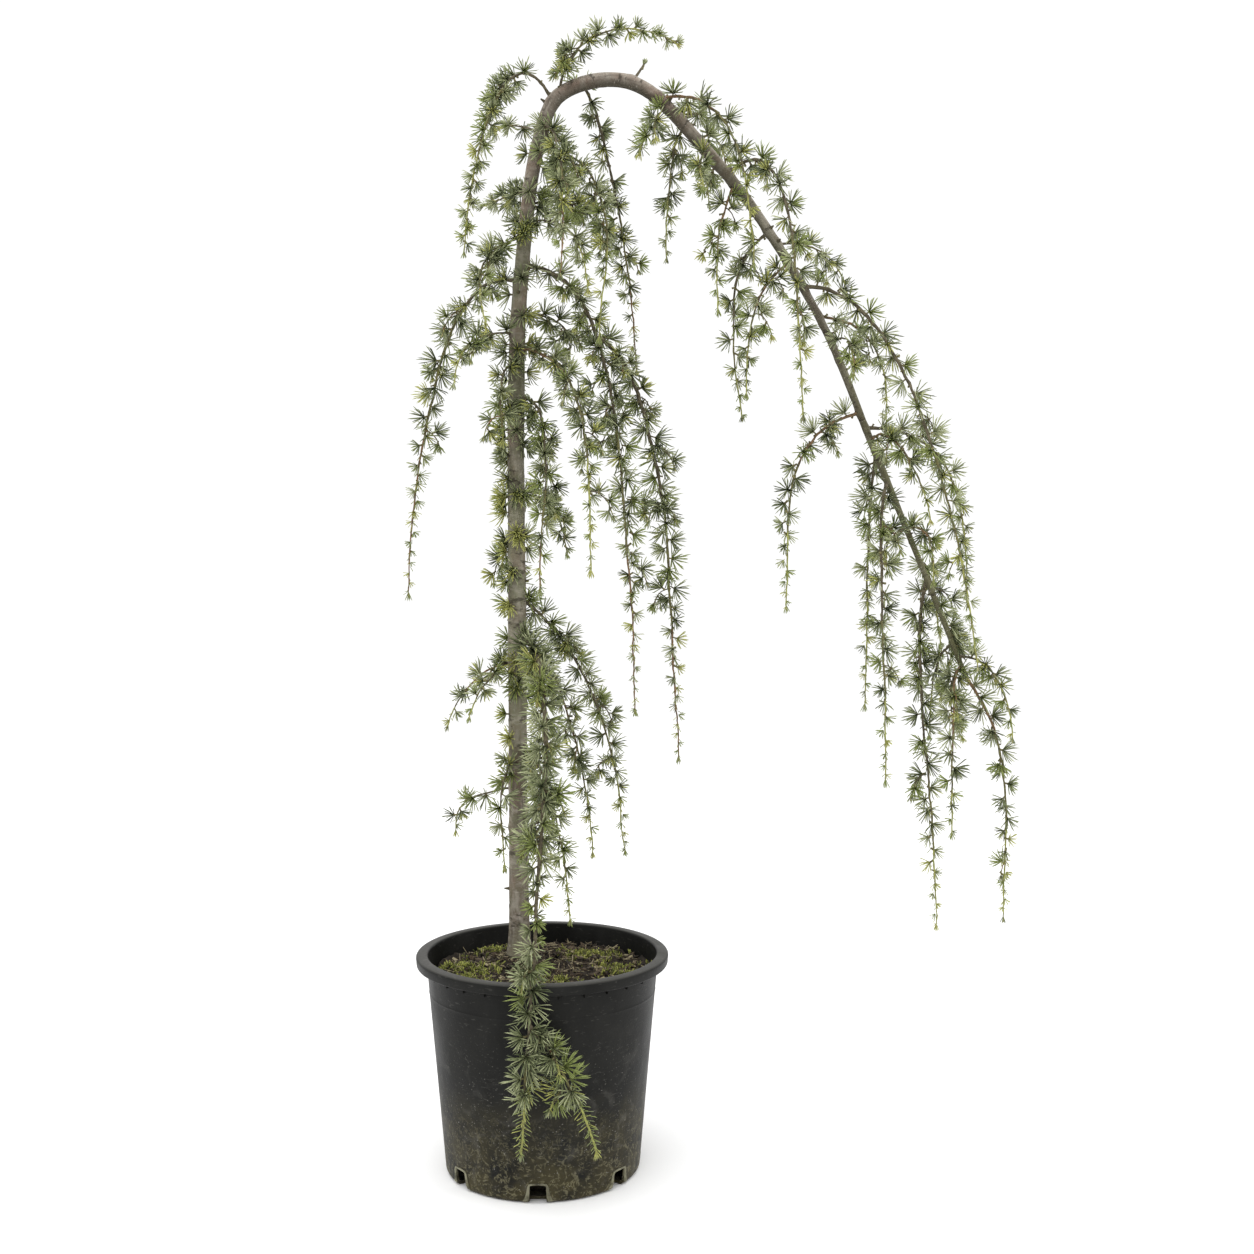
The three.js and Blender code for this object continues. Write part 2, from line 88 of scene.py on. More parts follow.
def make_piece(name, points, face_sets, finishes, smooth=True, crease=None):
    """One mesh from points in mm and sets of (faces, finish number)."""
    mesh = bpy.data.meshes.new(name)
    places = np.asarray(points, dtype=np.float64) * 0.001
    mesh.vertices.add(len(places))
    mesh.vertices.foreach_set("co", places.ravel())
    sides = np.concatenate([np.full(len(faces), faces.shape[1]) for faces, _ in face_sets])
    corners = np.concatenate([np.asarray(faces).ravel() for faces, _ in face_sets])
    kinds = np.concatenate([np.broadcast_to(kind, len(faces)) for faces, kind in face_sets])
    mesh.loops.add(len(corners))
    mesh.loops.foreach_set("vertex_index", corners.astype(np.int32))
    mesh.polygons.add(len(sides))
    starts = np.concatenate([[0], np.cumsum(sides)[:-1]])
    mesh.polygons.foreach_set("loop_start", starts.astype(np.int32))
    for finish in finishes:
        mesh.materials.append(finish)
    mesh.polygons.foreach_set("material_index", kinds.astype(np.int32))
    mesh.update(calc_edges=True)
    mesh.validate()
    mesh.polygons.foreach_set("use_smooth", np.full(len(mesh.polygons), smooth))
    if crease:
        mesh.set_sharp_from_angle(angle=math.radians(crease))
    piece = bpy.data.objects.new(name, mesh)
    bpy.context.collection.objects.link(piece)
    return piece


def fix_to_plant(piece, slot, *nodes):
    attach(piece, "root")
    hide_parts(*nodes)


def shader_of(finish):
    return finish.node_tree.nodes["Principled BSDF"]


def start_finish(name, colour, roughness, specular=0.5):
    finish = bpy.data.materials.new(name)
    finish.use_nodes = True
    shader = shader_of(finish)
    shader.inputs["Base Color"].default_value = colour
    shader.inputs["Roughness"].default_value = roughness
    shader.inputs["Specular IOR Level"].default_value = specular
    return finish


def add_node(finish, kind, **values):
    node = finish.node_tree.nodes.new(kind)
    for name, value in values.items():
        setattr(node, name, value)
    return node


def wire(finish, source, target):
    finish.node_tree.links.new(source, target)


def mottle(finish, where, grain, low, high, sideways=1.0, upright=1.0, detail=5.0, swirl=0.0):
    """A patchy factor from 0 to 1. The patches are about grain mm across; sideways and upright
    squash them, or draw them out where they are under 1."""
    spread = add_node(finish, "ShaderNodeMapping")
    spread.inputs["Scale"].default_value = (sideways, sideways, upright)
    wire(finish, where, spread.inputs["Vector"])
    noise = add_node(finish, "ShaderNodeTexNoise")
    noise.inputs["Scale"].default_value = 1000.0 / grain
    noise.inputs["Detail"].default_value = detail
    noise.inputs["Roughness"].default_value = 0.6
    noise.inputs["Distortion"].default_value = swirl
    wire(finish, spread.outputs["Vector"], noise.inputs["Vector"])
    return between(finish, noise.outputs["Fac"], low, high)


def between(finish, value, low, high):
    """0 where the value is at low, 1 at high, held at both ends."""
    window = add_node(finish, "ShaderNodeMapRange", clamp=True)
    window.inputs["From Min"].default_value = low
    window.inputs["From Max"].default_value = high
    wire(finish, value, window.inputs["Value"])
    return window.outputs["Result"]


def times(finish, first, second):
    product = add_node(finish, "ShaderNodeMath", operation="MULTIPLY")
    for socket, value in zip(product.inputs, (first, second)):
        if isinstance(value, float):
            socket.default_value = value
        else:
            wire(finish, value, socket)
    return product.outputs["Value"]


def blend_colour(finish, factor, first, second):
    blend = add_node(finish, "ShaderNodeMix", data_type="RGBA")
    for socket, value in ((blend.inputs[6], first), (blend.inputs[7], second)):
        if isinstance(value, tuple):
            socket.default_value = value
        else:
            wire(finish, value, socket)
    wire(finish, factor, blend.inputs[0])
    return blend.outputs[2]


def lay_over(finish, body, colour, share, factor, *others):
    """The body's colour with another laid over it, by the product of the factors and a share."""
    for other in (*others, share):
        factor = times(finish, factor, other)
    return blend_colour(finish, factor, body, colour)


def paint(finish, colour):
    wire(finish, colour, shader_of(finish).inputs["Base Color"])


def emboss(finish, height, depth):
    """Bump in the finish; depth is how tall it stands in mm."""
    bump = add_node(finish, "ShaderNodeBump")
    bump.inputs["Distance"].default_value = depth * 0.001
    wire(finish, height, bump.inputs["Height"])
    wire(finish, bump.outputs["Normal"], shader_of(finish).inputs["Normal"])


def roughen(finish, factor, low, high):
    spread = add_node(finish, "ShaderNodeMapRange")
    spread.inputs["To Min"].default_value = low
    spread.inputs["To Max"].default_value = high
    wire(finish, factor, spread.inputs["Value"])
    wire(finish, spread.outputs["Result"], shader_of(finish).inputs["Roughness"])


def object_place(finish):
    return add_node(finish, "ShaderNodeTexCoord").outputs["Object"]


def axes_of(finish, vector):
    axes = add_node(finish, "ShaderNodeSeparateXYZ")
    wire(finish, vector, axes.inputs["Vector"])
    return axes.outputs


def facing_up(finish):
    """1 where the surface faces up, 0 where it stands upright, -1 where it faces down."""
    return axes_of(finish, add_node(finish, "ShaderNodeNewGeometry").outputs["Normal"])["Z"]


def make_pot_plastic(name, algae_strength, wear=0.0):
    plastic = start_finish(name, PLASTIC_BLACK, 0.5, specular=0.11)
    place = object_place(plastic)
    height = axes_of(plastic, place)["Z"]
    scuffs = mottle(plastic, place, 46.0, 0.40, 0.72, upright=0.55)
    body = blend_colour(plastic, scuffs, PLASTIC_BLACK, PLASTIC_SCUFFED)
    if wear:
        rubbed = mottle(plastic, place, 9.0, 0.30, 0.55)
        body = lay_over(plastic, body, LIP_WORN, wear, rubbed)
    low_down = between(plastic, height, *ALGAE_FADE)
    patches = mottle(plastic, place, 30.0, 0.34, 0.60, detail=9.0)
    body = lay_over(plastic, body, ALGAE_OLIVE, algae_strength, low_down, patches)
    edges = mottle(plastic, place, 13.0, 0.45, 0.55, detail=2.5, swirl=1.5)
    curls = times(plastic, times(plastic, edges, between(plastic, edges, 1.0, 0.0)), CURL_GAIN)
    curls = times(plastic, curls, mottle(plastic, place, 6.0, 0.44, 0.56, detail=2.0))
    foot_only = between(plastic, height, *CRUST_FADE)
    body = lay_over(plastic, body, ALGAE_PALE, CRUST_SHARE * algae_strength, foot_only, curls)
    splashed = between(plastic, height, *SPLASH_FADE)
    dust = mottle(plastic, place, 2.0, 0.70, 0.74, detail=1.0)
    body = lay_over(plastic, body, DUST_AND_HIGHLIGHT_GREY, DUST_SHARE, dust, splashed)
    smears = mottle(plastic, place, 26.0, 0.54, 0.74, detail=9.0, swirl=0.8)
    body = lay_over(plastic, body, DUST_AND_HIGHLIGHT_GREY, SMEAR_SHARE, smears, splashed)
    scratches = mottle(plastic, place, 9.0, 0.62, 0.68, upright=3.4, detail=3.0, swirl=0.6)
    body = lay_over(plastic, body, DUST_AND_HIGHLIGHT_GREY, SCRATCH_SHARE, scratches)
    # Painted highlight, partly settled dust: faces that look upward, above all the rim's top, are lightened
    # with the dust grey.
    level = between(plastic, facing_up(plastic), 0.45, 1.0)
    paint(plastic, lay_over(plastic, body, DUST_AND_HIGHLIGHT_GREY, SETTLED_DUST_AND_HIGHLIGHT_SHARE, level))
    roughen(plastic, scuffs, 0.42, 0.60)
    emboss(plastic, mottle(plastic, place, 2.4, 0.2, 0.8), 0.12)
    return plastic


def pot_wall(height):
    return FOOT_RADIUS + (SHOULDER_RADIUS - FOOT_RADIUS) * height / POT_HEIGHT


def bend(radius, height, size, start, stop, steps):
    turns = np.radians(np.linspace(start, stop, steps + 1))
    return [(radius + size * math.cos(turn), height + size * math.sin(turn)) for turn in turns]


def ring_faces(rings, sides):
    """Quads between rings of points that follow each other, each ring closed on itself."""
    here = np.arange(sides)
    after = (here + 1) % sides
    low = np.arange(rings - 1)[:, None] * sides
    quads = np.stack([low + here, low + after, low + after + sides, low + here + sides], axis=2)
    return quads.reshape(-1, 4)


def turn_profile(profile, sides):
    """Points and faces of a closed form turned about the upright axis, poles first and last."""
    rings = np.array(profile[1:-1])
    turns = np.arange(sides) * math.tau / sides - math.pi / 2
    around = np.stack([np.cos(turns), np.sin(turns)], axis=1)
    points = np.concatenate([
        [[0.0, 0.0, profile[0][1]]],
        np.concatenate([
            rings[:, None, :1] * around[None],
            np.broadcast_to(rings[:, None, 1:], (len(rings), sides, 1)),
        ], axis=2).reshape(-1, 3),
        [[0.0, 0.0, profile[-1][1]]],
    ])
    here = np.arange(sides)
    after = (here + 1) % sides
    last = len(points) - 1
    top = last - sides
    caps = np.concatenate([
        np.stack([np.zeros(sides, int), 1 + after, 1 + here], axis=1),
        np.stack([np.full(sides, last), top + here, top + after], axis=1),
    ])
    return points, ring_faces(len(rings), sides) + 1, caps


rim_foot = POT_HEIGHT - RIM_DEPTH
rim_inner = SHOULDER_RADIUS - WALL_THICK
pot_profile = [
    (0.0, 0.0), (60.0, 0.0), (FOOT_RADIUS - FOOT_ROUND - 3.0, 0.0),
    *bend(pot_wall(FOOT_ROUND) - FOOT_ROUND, FOOT_ROUND, FOOT_ROUND, -90, 0, 6),
    *[(pot_wall(height), height) for height in WALL_RINGS],
    *[(pot_wall(RING_LINE_HEIGHT + step) + proud, RING_LINE_HEIGHT + step) for step, proud in RING_LINE],
    (pot_wall(rim_foot - 6.0), rim_foot - 6.0), (pot_wall(rim_foot - 1.5), rim_foot - 1.5),
    *bend(pot_wall(rim_foot) + 1.5, rim_foot - 1.5, 1.5, 180, 90, 3),
    *bend(RIM_RADIUS - 2.6, rim_foot + 2.0, 2.0, -90, -5, 4),
    (RIM_RADIUS - 0.3, POT_HEIGHT - 6.0),
    *bend(RIM_RADIUS - 2.8, POT_HEIGHT - 3.2, 2.8, 0, 80, 5),
    (RIM_RADIUS - 6.5, POT_HEIGHT - 0.1),
    *bend(rim_inner + 2.4, POT_HEIGHT - 2.4, 2.4, 90, 180, 5),
    (pot_wall(POT_HEIGHT - 14.0) - WALL_THICK, POT_HEIGHT - 14.0),
    (pot_wall(120.0) - WALL_THICK, 120.0), (pot_wall(FOOT_ROUND) - WALL_THICK, FOOT_ROUND),
    (pot_wall(FOOT_ROUND) - FOOT_ROUND, FLOOR_THICK), (60.0, FLOOR_THICK), (0.0, FLOOR_THICK),
]
pot_black = make_pot_plastic("pot_plastic_weathered", 1.0)
pot_lip_finish = make_pot_plastic("pot_plastic_lip", 0.5, wear=0.8)

wall_points, wall_faces, wall_caps = turn_profile(pot_profile, POT_SIDES)
nursery_pot = make_piece("nursery_pot", wall_points, [(wall_faces, 0), (wall_caps, 0)], [pot_black])

BLOCK_FACES = np.array([
    [0, 3, 2, 1], [4, 5, 6, 7], [0, 1, 5, 4], [1, 2, 6, 5], [2, 3, 7, 6], [3, 0, 4, 7]])


def notch_block(turn):
    """A block through the foot that points outward at a turn about the pot's axis."""
    out = np.array([math.cos(turn), math.sin(turn), 0.0])
    beside = np.array([-math.sin(turn), math.cos(turn), 0.0])
    up = np.array([0.0, 0.0, 1.0])
    half_width = NOTCH_WIDTH / 2
    return np.array([
        out * radius + beside * side + up * height
        for height in (NOTCH_UNDER, NOTCH_HEIGHT)
        for radius, side in ((NOTCH_INNER, -half_width), (NOTCH_OUTER, -half_width),
                             (NOTCH_OUTER, half_width), (NOTCH_INNER, half_width))])


notch_turns = [index * math.tau / NOTCH_COUNT - math.pi / 2 for index in range(NOTCH_COUNT)]
cutter_points = np.concatenate([notch_block(turn) for turn in notch_turns])
cutter_faces = np.concatenate([BLOCK_FACES + 8 * index for index in range(NOTCH_COUNT)])
notch_cutter = make_piece("notch_cutter", cutter_points, [(cutter_faces, 0)], [pot_black])
cut = nursery_pot.modifiers.new("notches", "BOOLEAN")
cut.operation = "DIFFERENCE"
cut.solver = "EXACT"
cut.object = notch_cutter
cut_mesh = bpy.data.meshes.new_from_object(
    nursery_pot.evaluated_get(bpy.context.evaluated_depsgraph_get()))
nursery_pot.modifiers.remove(cut)
bpy.data.objects.remove(notch_cutter)
nursery_pot.data = cut_mesh
cut_mesh.name = "nursery_pot"
cut_mesh.polygons.foreach_set("use_smooth", np.full(len(cut_mesh.polygons), True))
cut_mesh.set_sharp_from_angle(angle=math.radians(WALL_CREASE))
fix_to_plant(nursery_pot, "pot_plastic", "pot")


def wall_strip(path, half_widths, proud, sunk=1.0):
    """A raised bead on the pot's wall along (across, height) points about one notch."""
    path = np.array(path, dtype=float)
    half_widths = np.broadcast_to(half_widths, len(path))
    ahead = np.gradient(path, axis=0)
    ahead /= np.linalg.norm(ahead, axis=1)[:, None]
    beside = np.stack([-ahead[:, 1], ahead[:, 0]], axis=1)
    section = [(-1.0, -sunk), (-1.0, proud * 0.6), (-0.5, proud),
               (0.5, proud), (1.0, proud * 0.6), (1.0, -sunk)]
    rings = []
    for place, side, half_width in zip(path, beside, half_widths):
        for offset, rise in section:
            rings.append((*(place + side * offset * half_width), rise))
    return np.array(rings).reshape(len(path), len(section), 3)


def tube_faces(rings, sides):
    """Quads of a tube and the fans that close its two ends."""
    fan = np.arange(1, sides - 1)
    start = np.stack([np.zeros(len(fan), int), fan + 1, fan], axis=1)
    end = np.stack([np.zeros(len(fan), int), fan, fan + 1], axis=1) + (rings - 1) * sides
    return ring_faces(rings, sides), np.concatenate([start, end])


lip_rows = HALF_LIP + [(-across, height, half) for across, height, half in HALF_LIP[-2::-1]]
lip_strip = wall_strip([row[:2] for row in lip_rows], [row[2] for row in lip_rows], LIP_PROUD)
rib_path = [(0.0, rim_foot - 6.0), (0.0, rim_foot - 2.0), (0.0, rim_foot + 0.6)]
rib_strip = wall_strip(rib_path, RIB_HALF_WIDTH, RIB_PROUD)


def wrap_on_pot(name, strip, turns, finish):
    """One piece of copies of a strip, laid round the wall at each of the turns."""
    height = np.maximum(strip[..., 1], 0.2)
    below_round = 1 - np.minimum(height / FOOT_ROUND, 1)
    foot_pull = FOOT_ROUND * (1 - np.sqrt(np.clip(1 - below_round ** 2, 0, 1)))
    radius = pot_wall(height) - foot_pull + strip[..., 2]
    tube, ends = tube_faces(strip.shape[0], strip.shape[1])
    points, quads, caps = [], [], []
    for index, turn in enumerate(turns):
        around = turn + strip[..., 0] / pot_wall(height)
        places = np.stack([radius * np.cos(around), radius * np.sin(around), height], axis=2)
        points.append(places.reshape(-1, 3))
        quads.append(tube + index * height.size)
        caps.append(ends + index * height.size)
    face_sets = [(np.concatenate(quads), 0), (np.concatenate(caps), 0)]
    piece = make_piece(name, np.concatenate(points), face_sets, [finish], crease=BEAD_CREASE)
    fix_to_plant(piece, "pot_plastic", "pot")


rib_turns = [(index + 0.4) * math.tau / RIB_COUNT for index in range(RIB_COUNT)]
wrap_on_pot("pot_notch_lips", lip_strip, notch_turns, pot_lip_finish)
wrap_on_pot("pot_rim_ribs", rib_strip, rib_turns, pot_black)


# ---------------------------------------------------------------- 2. Potting mix
# Dark composted bark fills the pot to 22 mm below the rim and is mounded at the trunk.
# Bark chips, crumbs, old shed needles and low moss lie on it, pressed in by watering.

SOIL_LEVEL = 220.0
MOUND_TOP = 229.0
MOUND_FLAT = 19.0
MOUND_FOOT = 46.0
TRUNK_ACROSS = -28.0
STEM_DEPTH = 30.0
SOIL_RINGS = 96
SOIL_SIDES = 180
SOIL_GAP = 0.7
SETTLED_FROM, SETTLED_OVER, SETTLED_BY = 96.0, 28.0, 2.5
LUMPS, LUMP_HEIGHT = (61.0, 34.0, 19.0), 1.9
CRUMBS, CRUMB_HEIGHT = (8.0, 5.0), 1.1
CHIP_COUNT, CHIP_LEAST, CHIP_MORE, CHIP_FLATNESS = 1500, 1.2, 5.2, 0.35
CHIP_SHARES = [0.5, 0.38, 0.12]
LITTER_COUNT, LITTER_SHARES = 1700, [0.52, 0.48]
LITTER_LIFT, LITTER_REACH, LITTER_TIP_REACH = 1.1, 118.0, 121.0
MOSS_SPREAD, MOSS_REACH, TUFTS_PER_SPOT = 0.52, 120.0, 4
MOSS_CLUMPS, MOSS_CLUMP_FROM = (15.0, 8.0, 5.0), 0.4
MOSS_SHADES, MOSS_DARK_BELOW = (13.0, 7.0, 4.0), 0.30

MIX_DARK = (0.011, 0.008, 0.005, 1.0)
MIX_BROWN = (0.040, 0.028, 0.016, 1.0)
MIX_CRUMB = (0.12, 0.085, 0.05, 1.0)
MIX_TAN = (0.29, 0.255, 0.145, 1.0)
MIX_STRAW = (0.36, 0.29, 0.18, 1.0)
MOSS_GREEN = (0.25, 0.27, 0.045, 1.0)
MOSS_OLIVE = (0.070, 0.080, 0.020, 1.0)
MOSS_BRIGHT = (0.46, 0.47, 0.12, 1.0)

soil_random = np.random.default_rng(220)


def ripple(across, away, sizes, seed):
    """Smooth unevenness of about unit height from waves of the given lengths."""
    chance = np.random.default_rng(seed)
    total = 0.0
    for size in sizes:
        for _ in range(5):
            turn, phase = chance.uniform(0.0, math.tau, 2)
            wave = (across * math.cos(turn) + away * math.sin(turn)) * math.tau / size
            total = total + np.sin(wave + phase)
    return total / math.sqrt(2.5 * len(sizes))


def soil_height(across, away):
    from_trunk = np.hypot(across - TRUNK_ACROSS, away - STEM_DEPTH)
    rise = np.clip((MOUND_FOOT - from_trunk) / (MOUND_FOOT - MOUND_FLAT), 0.0, 1.0)
    rise = rise * rise * (3.0 - 2.0 * rise)
    settled = np.clip((np.hypot(across, away) - SETTLED_FROM) / SETTLED_OVER, 0.0, 1.0)
    lumps = LUMP_HEIGHT * ripple(across, away, LUMPS, 3) + CRUMB_HEIGHT * ripple(across, away, CRUMBS, 4)
    level = SOIL_LEVEL + (MOUND_TOP - SOIL_LEVEL) * rise
    return level + lumps * (1.0 - 0.5 * rise) - SETTLED_BY * settled


def make_mix_finish(name, dark, light, roughness=0.95):
    finish = start_finish(name, dark, roughness)
    place = object_place(finish)
    crumbs = mottle(finish, place, 4.0, 0.38, 0.68, detail=8.0)
    paint(finish, blend_colour(finish, crumbs, dark, light))
    emboss(finish, mottle(finish, place, 2.0, 0.25, 0.75), 0.8)
    return finish


mix_dark = make_mix_finish("potting_mix_dark", MIX_DARK, MIX_BROWN)
mix_brown = make_mix_finish("potting_mix_brown", MIX_BROWN, MIX_CRUMB)
mix_tan = make_mix_finish("potting_mix_tan", MIX_TAN, MIX_STRAW, 0.8)
moss_finish = make_mix_finish("moss_green", MOSS_GREEN, MOSS_BRIGHT, 0.8)
moss_dark = make_mix_finish("moss_olive", MOSS_OLIVE, MOSS_GREEN, 0.85)

soil_edge = pot_wall(SOIL_LEVEL) - WALL_THICK - SOIL_GAP
soil_radii = soil_edge * (np.arange(SOIL_RINGS) + 1) / SOIL_RINGS
soil_turns = np.arange(SOIL_SIDES) * math.tau / SOIL_SIDES
soil_across = soil_radii[:, None] * np.cos(soil_turns)
soil_away = soil_radii[:, None] * np.sin(soil_turns)
bed_top = np.stack([soil_across, soil_away, soil_height(soil_across, soil_away)], axis=2)[::-1]

# The mix has washed back from the drain notches, so its side steps in near the foot.
bed_steps = [(82.0, FLOOR_THICK + 0.4), (84.0, 20.0), (96.0, 31.0),
             (pot_wall(40.0) - WALL_THICK - SOIL_GAP, 40.0)]
bed_side = [np.stack([edge * np.cos(soil_turns), edge * np.sin(soil_turns),
                      np.full(SOIL_SIDES, height)], axis=1) for edge, height in bed_steps]
bed_points = np.concatenate([np.array(bed_side), bed_top]).reshape(-1, 3)
bed_quads, bed_ends = tube_faces(SOIL_RINGS + len(bed_steps), SOIL_SIDES)
potting_mix = make_piece("potting_mix", bed_points, [(bed_quads, 0), (bed_ends, 0)], [mix_dark])
fix_to_plant(potting_mix, "potting_mix", "soil")


def spots_on_soil(count, keep_off=15.0, reach=119.0):
    radius = reach * np.sqrt(soil_random.uniform(0.0, 1.0, count))
    turn = soil_random.uniform(0.0, math.tau, count)
    across, away = radius * np.cos(turn), radius * np.sin(turn)
    free = np.hypot(across - TRUNK_ACROSS, away - STEM_DEPTH) > keep_off
    across, away = across[free], away[free]
    return np.stack([across, away, soil_height(across, away)], axis=1)


def unit(vectors):
    return vectors / np.maximum(np.linalg.norm(vectors, axis=-1, keepdims=True), 1e-9)


def chance_vectors(count, *spreads):
    return np.stack([soil_random.normal(0, spread, count) for spread in spreads], axis=1)


CHIP_CORNERS = np.array([
    [-1.0, -0.7, -0.5], [0.9, -0.8, -0.5], [1.0, 0.7, -0.5], [-0.8, 0.8, -0.5],
    [-0.8, -0.6, 0.5], [0.8, -0.6, 0.4], [0.7, 0.7, 0.5], [-1.0, 0.5, 0.4]])


def scatter_chips(spots, sizes, flatness):
    """Broken pieces of bark: bent blocks with uneven corners, laid nearly flat."""
    count = len(spots)
    corners = CHIP_CORNERS + soil_random.uniform(-0.3, 0.3, (count, 8, 3))
    widths = sizes * soil_random.uniform(0.3, 0.8, count)
    corners = corners * np.stack([sizes, widths, sizes * flatness], axis=1)[:, None]
    ahead = unit(chance_vectors(count, 1, 1, 0.42))
    up = np.column_stack([chance_vectors(count, 0.3, 0.3), np.ones(count)])
    beside = unit(np.cross(up, ahead))
    up = np.cross(ahead, beside)
    axes = np.stack([ahead, beside, up], axis=1)
    points = np.einsum("nki,nij->nkj", corners, axes) + (spots + (0.0, 0.0, 0.5))[:, None]
    faces = BLOCK_FACES[None] + np.arange(count)[:, None, None] * 8
    return points.reshape(-1, 3), faces.reshape(-1, 4)


chip_spots = spots_on_soil(CHIP_COUNT)
chip_sizes = CHIP_LEAST + CHIP_MORE * soil_random.uniform(0.0, 1.0, len(chip_spots)) ** 2.2
chip_points, chip_faces = scatter_chips(chip_spots, chip_sizes, CHIP_FLATNESS)
chip_kinds = soil_random.choice([0, 1, 2], len(chip_spots), p=CHIP_SHARES)
chip_kinds = np.repeat(chip_kinds, len(BLOCK_FACES))
bark_chips = make_piece(
    "bark_chips", chip_points, [(chip_faces, chip_kinds)], [mix_dark, mix_brown, mix_tan],
    smooth=False)
fix_to_plant(bark_chips, "potting_mix", "soil")


BLADE_CORNERS = 7
BLADE_LOWER = np.array([[0, 2, 1], [0, 1, 4], [0, 4, 3], [1, 2, 5], [1, 5, 4], [2, 0, 3], [2, 3, 5]])
BLADE_UPPER = np.array([[3, 4, 6], [4, 5, 6], [5, 3, 6]])


def cross_directions(headings):
    """Two directions square to each heading and to each other."""
    helper = np.where(np.abs(headings[:, 2:]) > 0.8, [[1.0, 0.0, 0.0]], [[0.0, 0.0, 1.0]])
    beside = unit(np.cross(headings, helper))
    return beside, np.cross(beside, headings)


def spokes_round(beside, over, sides):
    """Spokes evenly round each heading, one for each side."""
    turns = np.arange(sides) * math.tau / sides
    return beside[:, None] * np.cos(turns)[None, :, None] + over[:, None] * np.sin(turns)[None, :, None]


def grow_blades(name, roots, headings, lengths, widths, droops, kinds, finishes):
    """One piece of closed three-sided needles: even blades that narrow near their blunt tips.
    droops says how far, and which way, each tip bends off its straight line."""
    ring = spokes_round(*cross_directions(headings), 3)
    thick = (widths * 0.5)[:, None, None]
    waist = roots + headings * (lengths * 0.82)[:, None] + droops * 0.55
    tips = roots + headings * lengths[:, None] + droops
    points = np.concatenate([
        roots[:, None] + ring * thick * 0.75, waist[:, None] + ring * thick, tips[:, None]], axis=1)
    first = np.arange(len(roots))[:, None, None] * BLADE_CORNERS
    face_sets = [((faces[None] + first).reshape(-1, 3), np.repeat(kinds, len(faces)))
                 for faces in (BLADE_LOWER, BLADE_UPPER)]
    return make_piece(name, points.reshape(-1, 3), face_sets, finishes)


litter_spots = spots_on_soil(LITTER_COUNT, keep_off=13.0)
litter_ahead = unit(chance_vectors(len(litter_spots), 1, 1, 0.24))
litter_length = soil_random.uniform(8.0, 18.0, len(litter_spots))
litter_roots = litter_spots + (0.0, 0.0, LITTER_LIFT) - litter_ahead * (litter_length * 0.5)[:, None]
litter_free = np.hypot(litter_roots[:, 0], litter_roots[:, 1]) < LITTER_REACH
litter_tips = litter_roots + litter_ahead * litter_length[:, None]
litter_free &= np.hypot(litter_tips[:, 0], litter_tips[:, 1]) < LITTER_TIP_REACH
litter_count = litter_free.sum()
litter_width = soil_random.uniform(0.8, 1.5, litter_count)
litter_bend = soil_random.normal(0, 0.8, (litter_count, 3)) * (1, 1, 0.3)
litter_kinds = soil_random.choice([0, 1], litter_count, p=LITTER_SHARES)
needle_litter = grow_blades(
    "needle_litter", litter_roots[litter_free], litter_ahead[litter_free], litter_length[litter_free],
    litter_width, litter_bend, litter_kinds, [mix_brown, mix_tan])
fix_to_plant(needle_litter, "potting_mix", "soil")

# Moss grows in patches: (across, away, patch radius, tufts).
MOSS_PATCHES = [(-88, -46, 26, 520), (-60, -78, 24, 460), (-20, -98, 20, 300), (58, -88, 26, 420),
                (95, -42, 24, 420), (84, 8, 22, 260), (-98, 6, 20, 260), (20, -60, 20, 240),
                (40, 60, 30, 260), (-60, 76, 26, 220), (70, 60, 20, 160), (-70, -10, 22, 260)]
moss_roots = []
for across, away, patch, tufts in MOSS_PATCHES:
    places = soil_random.normal(0, MOSS_SPREAD * patch, (tufts, 2)) + (across, away)
    clumped = ripple(places[:, 0], places[:, 1], MOSS_CLUMPS, 12) > MOSS_CLUMP_FROM
    places = places[(np.hypot(places[:, 0], places[:, 1]) < MOSS_REACH) & clumped]
    moss_roots.append(np.column_stack([places, soil_height(places[:, 0], places[:, 1])]))
moss_roots = np.repeat(np.concatenate(moss_roots), TUFTS_PER_SPOT, axis=0)
moss_count = len(moss_roots)
moss_roots = moss_roots + soil_random.normal(0, 1.3, (moss_count, 3)) * (1, 1, 0.2)
moss_ahead = unit(soil_random.normal(0, 0.75, (moss_count, 3)) * (1, 1, 0.2) + (0, 0, 1))
moss_length = soil_random.uniform(2.0, 7.6, moss_count)
moss_width = soil_random.uniform(0.9, 1.8, moss_count)
moss_bend = soil_random.normal(0, 0.5, (moss_count, 3))
moss_shade = ripple(moss_roots[:, 0], moss_roots[:, 1], MOSS_SHADES, 5)
moss_kinds = (moss_shade + soil_random.normal(0, 0.45, moss_count) < MOSS_DARK_BELOW).astype(int)
moss = grow_blades(
    "moss", moss_roots, moss_ahead, moss_length, moss_width, moss_bend, moss_kinds,
    [moss_finish, moss_dark])
fix_to_plant(moss, "potting_mix", "soil")


# ---------------------------------------------------------------- 3. Leading stem
# One stem of smooth grey-brown bark rises from the mix, bends over at the top and hangs to the
# right, where it thins and darkens. Ring scars and knots mark each year's growth and each shoot.

